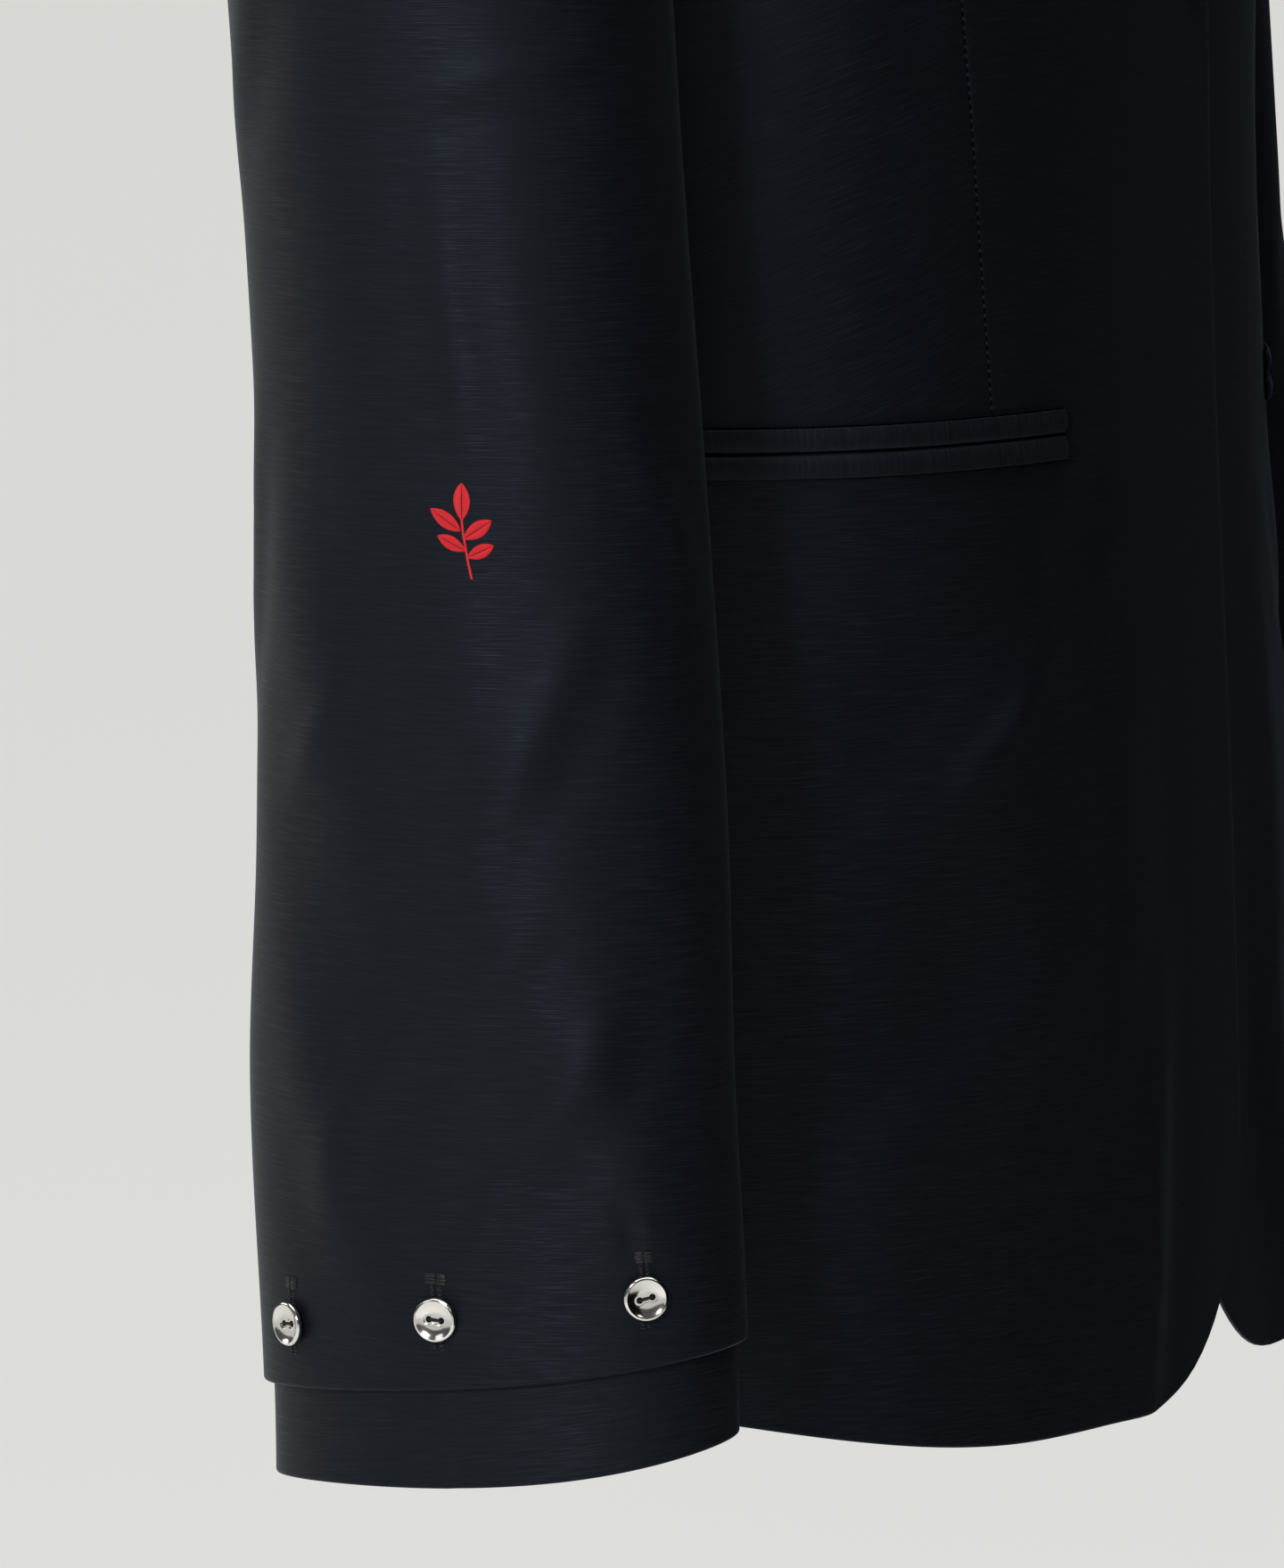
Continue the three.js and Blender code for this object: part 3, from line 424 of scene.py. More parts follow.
    def armhole_turn(self, level: Array, arm_turn: float, back: bool) -> Array:
        """The body turn of the armhole at a turn round the arm."""
        reach = float(look_up(self.ARMHOLE_TURN, self.ARMHOLE_REACH, np.array(arm_turn)))
        turn = math.degrees(math.acos(reach ** (self.POWER / 2)))
        return np.full(np.shape(level), 180 - turn if back else turn)

    def armhole_level(self, arm_turn: Array) -> Array:
        """The level of the armhole, from 0 at the shoulder to 180 underneath."""
        share = (1 + np.cos(np.radians(arm_turn))) / 2
        return mix(self.UNDERARM, self.SHOULDER_SEAM, share)

    def armhole_point(self, turn: Array) -> Array:
        """The armhole's points at turns round the arm."""
        turn = np.mod(turn, 360)
        back = turn > 180
        folded = np.where(back, 360 - turn, turn)
        level = np.minimum(self.armhole_level(folded), self.SHOULDER_SEAM - 0.001)
        reach = look_up(self.ARMHOLE_TURN, self.ARMHOLE_REACH, folded)
        body_turn = np.degrees(np.arccos(np.clip(reach, 0, 1) ** (self.POWER / 2)))
        return self.form(level, np.where(back, 180 - body_turn, body_turn))

    def arm_turn_at_y(self, y: float) -> float:
        """The turn round the arm whose armhole point lies at a depth y."""
        low, high = 120.0, 180.0
        for _ in range(40):
            middle = (low + high) / 2
            point = self.armhole_point(np.array(middle if y < 0 else 360 - middle))
            low, high = (middle, high) if abs(point[1]) > abs(y) else (low, middle)
        return low

    def neck_level(self, x: Array) -> Array:
        """The level of the back neck edge at a distance x from the centre."""
        dip = np.sqrt(np.maximum(1 - (np.asarray(x) / self.NECK_HALF) ** 2, 0))
        return mix(self.UNDERARM, self.SHOULDER_SEAM, 1 - self.NECK_DROP * dip)

    def hem_level(self, turn: Array) -> Array:
        """The hem's level round the body, without the rounded front corner."""
        front = mix(self.FRONT_HEM, self.SIDE_HEM, ease(28, 88, np.abs(turn)))
        back = mix(self.SIDE_HEM, self.BACK_HEM, ease(92, 160, turn))
        return np.where(turn < 90, front, back)


class SleeveForm:
    """A sleeve: its cap, its tube and the tilt of its edges, as in the solids."""

    TOP = -250.0
    HEM = -691.0
    INNER_HEM = -718.0
    TILT = 0.135
    SAG_TURN = 22.0
    SAG_WIDTH = 52.0
    SEAM_GAP = 0.34
    FRONT_SEAM = 120.0
    BACK_SEAM = 255.0

    LEVELS = [-760, -700, -613, -547, -488, -438, -389, -304, -250]
    XS = [258, 258, 258, 258, 258, 258, 258, 259, 262]
    YS = [-23.5, -22.8, -18.6, -19, -17.4, -15.7, -12.7, -7, -4]
    HALVES = [73.4, 73.4, 73.2, 70.5, 68, 65.5, 64.4, 64, 65]
    DEPTHS = [40, 40, 41.5, 44, 46, 48, 50, 53, 54]
    PITCH = 1.18
    UNEVEN = Waves(0.3, SEED + 1)

    FOLDS = [
        Fold(-600, 34, 15, 60, -24, 2.4),
        Fold(-520, 22, 15, 80, -22, 2.0),
        Fold(-505, -28, 14, 60, -14, 1.8),
        Fold(-630, -26, 13, 60, -16, 2.0),
        Fold(-400, 2, 16, 90, 4, -1.6),
        Fold(-300, 170, 22, 40, 10, -3),
        Fold(-430, 190, 20, 70, -16, -2.6),
        Fold(-560, 165, 18, 80, 14, 2.2),
    ]

    def __init__(self, body: BodyForm) -> None:
        """Keeps the body whose armhole the cap starts from."""
        self.body = body

    def form(self, level: Array, turn: Array) -> Array:
        """The bare tube, with x counted towards the outer side."""
        read = [look_up(self.LEVELS, t, level) for t in (self.XS, self.YS, self.HALVES, self.DEPTHS)]
        sine, cosine = np.sin(np.radians(turn)), np.cos(np.radians(turn))
        x = read[0] + read[3] * cosine
        y = read[1] - read[2] * sine
        return np.stack(np.broadcast_arrays(x, y, level), axis=-1)

    def tube(self, lift: float = 0.0, creases: tuple[Crease, ...] = ()) -> Surface:
        """The tube with its folds, moved out by a lift."""

        def at(level: Array, turn: Array) -> Array:
            height = np.full(np.broadcast(level, turn).shape, lift)
            for fold in self.FOLDS:
                height += fold.height(level - fold.level, self.wrap(turn - fold.across))
            height += self.UNEVEN.lift(level, turn * self.PITCH)
            for crease in creases:
                middle = (crease.start[1] + crease.end[1]) / 2
                near = middle + self.wrap(turn - middle)
                height += crease.height(level, near, self.PITCH)
            normal = normal_of(self.form, level, turn, reverse=True)
            return self.form(level, turn) + normal * height[..., None]

        return at

    @staticmethod
    def wrap(turn: Array) -> Array:
        """A turn brought between -180 and 180."""
        return turn - 360 * np.round(turn / 360)

    def cap(self, share: Array, turn: Array, end: Array) -> Array:
        """The cap's points, from the armhole at share 0 to the tube's top at 1."""
        start = self.body.armhole_point(turn)
        start[..., 0] += self.SEAM_GAP
        out = np.sin(np.radians(share * 90))[..., None]
        down = 1 - np.cos(np.radians(share * 90))[..., None]
        weight = np.concatenate([out, (out + down) / 2, down], axis=-1)
        return start + (end - start) * weight

    def edge_level(self, edge: float, turn: Array, sag: float = 0.0) -> Array:
        """The level of a cuff's edge round the arm, which rises towards the front.

        Args:
            edge: The edge's middle level.
            turn: Turns round the arm.
            sag: How far the cloth drops on the outer side.

        Returns:
            The levels.
        """
        middle = float(look_up(self.LEVELS, self.YS, np.array(edge)))
        drop = sag * np.exp(-((self.wrap(turn - self.SAG_TURN) / self.SAG_WIDTH) ** 2))
        return edge + self.TILT * (middle - self.form(np.full(np.shape(turn), edge), turn)[..., 1]) - drop


def grid_normals(points: Array, closed: bool = False) -> Array:
    """Unit normals of a grid of points, by differences along its rows and columns.

    Args:
        points: Rows by columns by three.
        closed: True where the last column meets the first.

    Returns:
        Normals, pointing along columns crossed with rows.
    """
    up = np.gradient(points, axis=0)
    if closed:
        around = np.roll(points, -1, axis=1) - np.roll(points, 1, axis=1)
    else:
        around = np.gradient(points, axis=1)
    return unit(np.cross(around, up))


def stations(length: float, pitch: float, fine: tuple[float, ...] = (0.5, 1.2, 2.4)) -> Array:
    """Shares from 0 to 1 along a stretch, closer together near both ends.

    Args:
        length: The stretch's length in millimetres.
        pitch: The usual distance between shares.
        fine: Distances from each end that also get a share.

    Returns:
        Rising shares.
    """
    inner = np.linspace(fine[-1] + pitch / 2, length - fine[-1] - pitch / 2, max(int(length / pitch), 2))
    ends = np.array((0.0,) + fine)
    return np.concatenate([ends, inner, length - ends[::-1]]) / length


def distances(points: Array) -> tuple[Array, Array]:
    """How far each of a grid's points lies along its row, and up its column.

    Args:
        points: Rows by columns by three.

    Returns:
        Distances from the first column, and from the first row.
    """
    step = np.linalg.norm(np.diff(points, axis=1), axis=-1)
    rise = np.linalg.norm(np.diff(points, axis=0), axis=-1)
    along = np.concatenate([np.zeros((len(step), 1)), np.cumsum(step, axis=1)], axis=1)
    up = np.concatenate([np.zeros((1, rise.shape[1])), np.cumsum(rise, axis=0)], axis=0)
    return along, up


@dataclass
class Grid:
    """The outer face of a panel of cloth.

    Args:
        points: Rows by columns by three, in millimetres, on the side where x is positive.
        normals: Outward unit vectors, alike in shape.
        mask: True for each cell that is cloth, or None for all.
        closed: True where the last column meets the first.
        level_row: The row that lies level, from which the cut is measured up and down.
    """

    points: Array
    normals: Array
    mask: Optional[Array] = None
    closed: bool = False
    level_row: int = 0

    def flat_places(self) -> Array:
        """Places on the flat cut: along each row, and up from the row that lies level."""
        along, up = distances(self.points)
        return np.stack([along, up - up[self.level_row]], axis=-1)


@dataclass
class Shell:
    """A thin closed shell of cloth, made from a grid.

    Args:
        name: The piece's name.
        grid: Its outer face.
        thickness: The cloth's thickness in millimetres.
        rounding: How far both faces draw together at an edge, as a share of the thickness.
    """

    name: str
    grid: Grid
    thickness: float = 1.2
    rounding: float = 0.22

    def build(self, side: Optional[Side]) -> bpy.types.Object:
        """Makes the mesh.

        Args:
            side: The side it is mirrored to, or None where it is placed already.

        Returns:
            The object, at the origin.
        """
        grid = self.grid
        sign = 1 if side is None else side.value
        rows, columns = grid.points.shape[:2]
        mask = np.ones((rows - 1, columns if grid.closed else columns - 1), bool)
        if grid.mask is not None:
            mask &= grid.mask
        outer, normals = grid.points.copy(), grid.normals
        padded = self._padded(mask)
        edge = self._edge_vertices(padded, rows, columns)
        inner = outer - normals * self.thickness
        outer[edge] -= normals[edge] * self.thickness * self.rounding
        inner[edge] += normals[edge] * self.thickness * self.rounding
        flip = np.array([sign, 1, 1])
        verts = np.concatenate([(outer * flip).reshape(-1, 3), (inner * flip).reshape(-1, 3)]) * MM
        faces, corners = self._faces(mask, padded, rows, columns)
        return self._mesh(verts, faces, corners, sign)

    def _padded(self, mask: Array) -> Array:
        """The cells of cloth with one more cell on each side, which wraps round a closed grid."""
        padded = np.pad(mask, 1)
        if self.grid.closed:
            padded[1:-1, 0], padded[1:-1, -1] = mask[:, -1], mask[:, 0]
        return padded

    @staticmethod
    def _edge_vertices(padded: Array, rows: int, columns: int) -> Array:
        """The grid's vertices that lie on the border of the cloth."""
        around = [padded[a : a + rows, b : b + columns] for a in (0, 1) for b in (0, 1)]
        total = sum(part.astype(int) for part in around)
        return (total > 0) & (total < 4)

    @staticmethod
    def _faces(mask: Array, padded: Array, rows: int, columns: int) -> tuple[Array, Array]:
        """Quads of both faces and of the rim, with the grid places of their corners."""
        kinds = [
            (mask, [(0, 0, 0), (0, 1, 0), (1, 1, 0), (1, 0, 0)]),
            (mask, [(0, 0, 1), (1, 0, 1), (1, 1, 1), (0, 1, 1)]),
            (mask & ~padded[:-2, 1:-1], [(0, 0, 1), (0, 1, 1), (0, 1, 0), (0, 0, 0)]),
            (mask & ~padded[2:, 1:-1], [(1, 0, 0), (1, 1, 0), (1, 1, 1), (1, 0, 1)]),
            (mask & ~padded[1:-1, :-2], [(0, 0, 0), (1, 0, 0), (1, 0, 1), (0, 0, 1)]),
            (mask & ~padded[1:-1, 2:], [(0, 1, 1), (1, 1, 1), (1, 1, 0), (0, 1, 0)]),
        ]
        faces, corners = [], []
        for cells, quad in kinds:
            i, j = np.nonzero(cells)
            at = np.stack([np.stack([i + di, j + dj], axis=-1) for di, dj, _ in quad], axis=1)
            inside = np.array([layer for _, _, layer in quad]) * rows * columns
            faces.append(at[..., 0] * columns + at[..., 1] % columns + inside)
            corners.append(at)
        return np.concatenate(faces), np.concatenate(corners)

    def _mesh(self, verts: Array, faces: Array, corners: Array, sign: int) -> bpy.types.Object:
        """Makes the object from its faces, with its cut as a UV map."""
        a, b, c = (verts[faces[0][k]] for k in (0, 1, 2))
        hint = self.grid.normals[tuple(corners[0][0])] * np.array([sign, 1, 1])
        if np.dot(np.cross(b - a, c - a), hint) < 0:
            faces, corners = faces[:, ::-1], corners[:, ::-1]
        used, renumbered = np.unique(faces, return_inverse=True)
        mesh = bpy.data.meshes.new(self.name)
        mesh.from_pydata(verts[used].tolist(), [], renumbered.reshape(faces.shape).tolist())
        cut = self.grid.flat_places() * MM
        if self.grid.closed:
            wrapped = cut[:, -1:] * [1, 0] + (cut[:, -1:] - cut[:, -2:-1]) * [1, 0] + cut[:, :1] * [0, 1]
            cut = np.concatenate([cut, wrapped], axis=1)
        layer = mesh.uv_layers.new(name="cut")
        places = cut[corners[..., 0], corners[..., 1]]
        layer.data.foreach_set("uv", places.astype(np.float32).ravel())
        mesh.shade_smooth()
        mesh.update()
        piece = bpy.data.objects.new(self.name, mesh)
        bpy.context.collection.objects.link(piece)
        return piece

    def flat_size(self) -> tuple[float, float, float]:
        """Width, length and area of the flat cut, in metres and square metres."""
        points = self.grid.points
        closing = np.concatenate([points, points[:, :1]], axis=1) if self.grid.closed else points
        across = np.linalg.norm(np.diff(closing, axis=1), axis=-1)
        up = np.linalg.norm(np.diff(closing, axis=0), axis=-1)
        cells = (across[1:] + across[:-1]) / 2 * (up[:, 1:] + up[:, :-1]) / 2
        mask = np.ones(cells.shape, bool) if self.grid.mask is None else self.grid.mask
        width = float(np.max(np.sum(np.where(mask, (across[1:] + across[:-1]) / 2, 0), axis=1)))
        length = float(np.max(np.sum(np.where(mask, (up[:, 1:] + up[:, :-1]) / 2, 0), axis=0)))
        area = float(np.sum(np.where(mask, cells, 0)))
        return width * MM, length * MM, min(area * MM * MM, width * length * MM * MM)


def turn_in(points: Array, normals: Array, drop: float, reach: float, columns: bool = True,
            rows: tuple[bool, bool] = (True, False), ends: Optional[Array] = None) -> Array:
    """Lets the border of a grid sink, as the folded edge of a seam does.

    Args:
        points: The grid's points.
        normals: Its normals.
        drop: How far the very edge sinks.
        reach: The distance over which it comes back up.
        columns: True to sink both ends of each row.
        rows: Whether the first and the last row sink.
        ends: The last column of cloth in each row, where it isn't the grid's last.

    Returns:
        The points with their borders sunk.
    """
    along, up = distances(points)
    sink = np.zeros(along.shape)
    if columns:
        last = along[:, -1:] if ends is None else np.take_along_axis(along, ends[:, None], axis=1)
        sink = np.maximum(np.exp(-along / reach), np.exp(-np.abs(last - along) / reach))
    if rows[0]:
        sink = np.maximum(sink, np.exp(-up / reach))
    if rows[1]:
        sink = np.maximum(sink, np.exp(-(up[-1:] - up) / reach))
    return points - normals * (drop * sink)[..., None]


def nudge(surface: Surface, level: Array, turn: Array, distance: float) -> Array:
    """The turns a distance further round a surface.

    Args:
        surface: The surface's function.
        level: Levels.
        turn: Turns.
        distance: How far to go, in millimetres.

    Returns:
        The new turns.
    """
    step = surface(level, turn + TURN_STEP) - surface(level, turn - TURN_STEP)
    return turn + distance * 2 * TURN_STEP / np.linalg.norm(step, axis=-1)


@dataclass
class Panel:
    """One cut piece of the blazer's cloth.

    Args:
        side: The wearer's side it is on, or None for a piece across both.
        body: The body's form.
    """

    side: Optional[Side]
    body: BodyForm
    thickness: float = 1.2
    seam_drop: float = 0.45
    seam_reach: float = 1.6
    thread_depth: float = 0.5
    thread_width: float = 1.2
    thread_step: int = 2
    thread_lap: float = 0.1
    piece: Optional[bpy.types.Object] = None
    flat: tuple[float, float, float] = (0.0, 0.0, 0.0)
    outer: Optional[Grid] = None

    KIND = "panel"
    SLOT = SUITING
    HELD = Held.DRAPED
    SEWN = ()

    @property
    def node(self) -> str:
        """The name of the node it replaces."""
        return self.KIND if self.side is None else f"{self.KIND}_{self.side.label}"

    def surface(self) -> Surface:
        """The body's surface on this side, with this side's creases."""
        return self.body.surface(self.side is Side.LEFT, BODY_CREASES[self.side])

    def grid(self) -> Grid:
        """The panel's outer face."""
        raise NotImplementedError

    def build(self) -> None:
        """Makes the panel's shell."""
        self.outer = self.grid()
        shell = Shell(f"{self.node}_cloth", self.outer, self.thickness)
        self.piece = shell.build(self.side)
        self.flat = shell.flat_size()

    def sew(self, thread: "Stitches") -> None:
        """Lays near-black thread in the seams along the borders named in SEWN, which closes them to light;
        the thread's near-black colour is painted shade in the seams.
        """
        flip = np.array([self.side.value, 1, 1])
        for border in self.SEWN:
            outs = self.outer.normals[border] * flip
            line = self.outer.points[border] * flip - outs * self.thread_depth
            line, outs = line[::self.thread_step], outs[::self.thread_step]
            for start, end, out in zip(line[:-1], line[1:], outs):
                lap = (end - start) * self.thread_lap
                thread.add(start - lap, end + lap, out, self.thread_width, 2 * self.thread_depth)

    def dress(self, material: bpy.types.Material) -> None:
        """Gives the panel its cloth."""
        self.piece.data.materials.append(material)

    def declare(self) -> None:
        """Attaches the panel to the body, hides the solid it replaces and logs how it was cut."""
        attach(self.piece, BODY)
        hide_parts(self.node)
        width, length, area = self.flat
        min(width, length) >= LEAST_SHEET
        LOG.info("%s: cut %.0f by %.0f mm, %.3f square metres", self.node, width / MM, length / MM, area)


@dataclass
class DartSeam:
    """The stitched dart above the pocket, with the tiny puckers beside it; its near-black stitches are
    painted shade along the dart.

    Args:
        side: The side of the garment.
        body: The body's form.
    """

    side: Side
    body: BodyForm
    stitch: float = 1.9
    pitch: float = 2.7
    width: float = 0.55
    height: float = 0.5
    top: float = -178.0

    PUCKER = 0.2
    PUCKER_REACH = 2.4

    @classmethod
    def puckers(cls, away: Array, level: Array, phase: float = 0.0) -> Array:
        """How far the puckers lift the cloth.

        Args:
            away: Distances from the seam.
            level: Levels of the same places.
            phase: A shift of the waves along the seam.

        Returns:
            The lift in millimetres.
        """
        low = BodyForm.POCKET_LEVEL
        ends = ease(low, low + 6, level) * (1 - ease(-190, -170, level))
        fade = np.exp(-away / cls.PUCKER_REACH) * ends
        wander = 0.8 * np.sin(level / 17)
        return cls.PUCKER * fade * np.sin(level * 2 * math.pi / cls.pitch + wander + phase)

    def work(self, thread: "Stitches") -> None:
        """Adds the seam's stitches to a piece of thread."""
        surface = self.body.surface(self.side is Side.LEFT, BODY_CREASES[self.side])
        flip = np.array([self.side.value, 1, 1])
        for start in np.arange(self.body.POCKET_LEVEL + 7.6, self.top, self.pitch):
            places = []
            for level in (np.array(start), np.array(start + self.stitch)):
                turn = self.body.turn_at_x(level, self.body.dart_x(level))
                normal = normal_of(surface, level, turn)
                places.append((surface(level, turn) - normal * 0.12) * flip)
            thread.add(places[0], places[1], normal * flip, self.width, self.height)


@dataclass
class Front(Panel):
    """A front, cut with its rounded corner, from the front edge to the dart and side seam."""

    arc_steps: int = 18
    mid_columns: int = 14
    side_columns: int = 26
    hem_block_top: float = -590.0
    row_pitch: float = 4.0
    pucker_pitch: float = 0.9

    KIND = "front"

    def corner(self) -> tuple[Array, Array]:
        """Distances in from the front edge and up from the hem, round the corner."""
        angle = np.radians(np.linspace(0, 90, self.arc_steps + 1))
        radius = self.body.CORNER_RADIUS
        return radius * (1 - np.cos(angle)), radius * (1 - np.sin(angle))

    def arm_rows(self) -> Array:
        """Turns round the arm of the rows above the underarm."""
        return np.concatenate([np.arange(178.5, 120.0, -1.5), np.arange(120.0, -0.1, -2.4)])

    def grid(self) -> Grid:
        """The front, whose cells beyond the dart stop at the pocket."""
        body = self.body
        inward, up = self.corner()
        first_b = len(inward)
        hem_rows = stations(self.hem_block_top - body.FRONT_HEM, self.row_pitch)[:-4]
        low_rows = np.arange(self.hem_block_top, body.POCKET_LEVEL - 3.5, self.row_pitch)
        near_pocket = body.POCKET_LEVEL - np.array([2.4, 1.2, 0.5, 0.0])
        high_rows = np.arange(body.POCKET_LEVEL + 0.9, body.UNDERARM, self.pucker_pitch)
        arms = self.arm_rows()
        plain = np.concatenate([low_rows, near_pocket, high_rows, body.armhole_level(arms)])
        plain = np.minimum(plain, body.SHOULDER_SEAM - 0.001)
        arm = np.concatenate([np.full(len(plain) - len(arms), 999.0), arms])
        rows = len(hem_rows) + len(plain)
        level = np.concatenate([np.full(len(hem_rows), body.FRONT_HEM), plain])[:, None]
        arm = np.concatenate([np.full(len(hem_rows), 999.0), arm])
        rise = np.concatenate([hem_rows, np.full(len(plain), np.nan)])[:, None]

        shares_b = stations(60.0, 60.0 / self.mid_columns)[1:]
        shares_c = stations(105.0, 105.0 / self.side_columns)[1:]
        columns = first_b + len(shares_b) + len(shares_c)
        last_b = first_b + len(shares_b) - 1
        corner_level = np.full(columns, body.FRONT_HEM)
        corner_level[:first_b] += up
        levels = np.broadcast_to(level, (rows, columns)).copy()
        for _ in range(3):
            turn = self._turns(levels, arm, inward, shares_b, shares_c)
            hem = np.where(np.arange(columns) < first_b, corner_level, body.hem_level(turn))
            in_block = ~np.isnan(rise)
            levels = np.where(in_block, mix(hem, self.hem_block_top, np.nan_to_num(rise)), level)
        at_pocket = np.abs(level - body.POCKET_LEVEL) < 0.01
        beyond = np.arange(columns)[None] > last_b
        levels = np.where(at_pocket & beyond, levels - 0.05, levels)
        turn = self._turns(levels, arm, inward, shares_b, shares_c)
        points = self.surface()(levels, turn)
        points[-1, :, 1] = -SleeveForm.SEAM_GAP / 2
        normals = grid_normals(points)
        mask = np.ones((rows - 1, columns - 1), bool)
        above = level[:-1, 0] > body.POCKET_LEVEL - 0.01
        mask[above, last_b:] = False
        ends = np.where(level[:, 0] > body.POCKET_LEVEL + 0.01, last_b, columns - 1)
        points = turn_in(points, normals, self.seam_drop, self.seam_reach, True, (False, True), ends)
        away = np.linalg.norm(points - points[:, last_b : last_b + 1], axis=-1)
        points = points + normals * DartSeam.puckers(away, levels)[..., None]
        return Grid(points, normals, mask, level_row=len(hem_rows))

    def _turns(self, level: Array, arm: Array, inward: Array, mid: Array, side: Array) -> Array:
        """The grid's turns, from the front edge past the dart to the side seam."""
        body = self.body
        under = level[:, :1]
        edge = body.roll_line_x(level[:, : len(inward)]) + inward
        first = body.turn_at_x(level[:, : len(inward)], edge)
        start = body.turn_at_x(under, body.roll_line_x(under) + body.CORNER_RADIUS)
        outer = self._outer_turn(level[:, -1:], arm)
        second = mix(start, outer, mid)
        seam = body.turn_at_y(level[:, -1:], -body.SIDE_SEAM_FRONT_Y)
        seam = nudge(body.form, level[:, -1:], seam, -SleeveForm.SEAM_GAP / 2)
        third = mix(outer, seam, side)
        return np.concatenate([first, second, third], axis=1)

    def _outer_turn(self, level: Array, arm: Array) -> Array:
        """The dart's turn up to its end, then the armhole's."""
        body = self.body
        dart = body.turn_at_x(level, body.dart_x(level))
        gap = np.where(level > body.POCKET_LEVEL + 0.01, -SleeveForm.SEAM_GAP / 2, 0)
        dart = dart + gap * (nudge(body.form, level, dart, 1.0) - dart)
        hole = np.array([float(body.armhole_turn(0.0, min(a, 180.0), False)) for a in arm])[:, None]
        return np.where(arm[:, None] < 120.0, hole, dart)


@dataclass
class SideFront(Panel):
    """The cloth between the dart and the side seam, above the pocket."""

    columns: int = 26
    row_pitch: float = 0.9

    KIND = "side_front"

    def grid(self) -> Grid:
        """The panel, whose outer edge turns from the side seam to the armhole."""
        body = self.body
        gap = SleeveForm.SEAM_GAP / 2
        rows = np.arange(body.POCKET_LEVEL + 0.06, body.UNDERARM, self.row_pitch)
        arms = np.arange(178.5, 119.9, -1.5)
        level = np.concatenate([rows, body.armhole_level(arms)])[:, None]
        arm = np.concatenate([np.full(len(rows), 999.0), arms])
        dart = body.turn_at_x(level, body.dart_x(level))
        start = nudge(body.form, level, dart, gap)
        seam = nudge(body.form, level, body.turn_at_y(level, -body.SIDE_SEAM_FRONT_Y), -gap)
        hole = np.array([float(body.armhole_turn(0.0, min(a, 180.0), False)) for a in arm])[:, None]
        on_hole = arm[:, None] < body.arm_turn_at_y(-body.SIDE_SEAM_FRONT_Y)
        end = np.where(on_hole, np.maximum(hole, start + 0.02), seam)
        turn = mix(start, end, stations(100.0, 100.0 / self.columns))
        points = self.surface()(np.broadcast_to(level, turn.shape), turn)
        normals = grid_normals(points)
        points = turn_in(points, normals, self.seam_drop, self.seam_reach, True, (False, False))
        away = np.linalg.norm(points - points[:, :1], axis=-1)
        return Grid(points + normals * DartSeam.puckers(away, level, 0.6)[..., None], normals)


@dataclass
class SidePanel(Panel):
    """The panel under the arm."""

    columns: int = 22
    row_pitch: float = 4.0

    KIND = "side_panel"
    SEWN = (FIRST_COLUMN,)

    def grid(self) -> Grid:
        """The panel, from the hem to the bottom of the armhole."""
        body = self.body
        gap = SleeveForm.SEAM_GAP / 2
        tops = [float(body.armhole_level(body.arm_turn_at_y(y)))
                for y in (-body.SIDE_SEAM_FRONT_Y, body.SIDE_SEAM_BACK_Y)]
        across = 2 * stations(78.0, 78.0 / self.columns) - 1
        shares = stations(480.0, self.row_pitch)[:, None]
        top = mix(body.UNDERARM, np.where(across < 0, tops[0], tops[1]), across**2)
        level = np.broadcast_to(body.SIDE_HEM, (len(shares), len(across))).astype(float)
        for _ in range(3):
            turn = self._turns(level, across, gap)
            level = mix(body.hem_level(turn[:1]), top, shares)
        turn = self._turns(level, across, gap)
        points = self.surface()(level, turn)
        normals = grid_normals(points)
        points = turn_in(points, normals, self.seam_drop, self.seam_reach)
        return Grid(points, normals, level_row=len(shares) // 2)

    def _turns(self, level: Array, across: Array, gap: float) -> Array:
        """Turns across the panel: straight lines in depth between its seams."""
        body = self.body
        turns = np.empty(level.shape)
        for j, share in enumerate(across):
            y = share * (body.SIDE_SEAM_FRONT_Y if share < 0 else body.SIDE_SEAM_BACK_Y)
            turns[:, j] = body.turn_at_y(level[:, j], y)
        turns[:, 0] = nudge(body.form, level[:, 0], turns[:, 0], gap)
        turns[:, -1] = nudge(body.form, level[:, -1], turns[:, -1], -gap)
        return turns


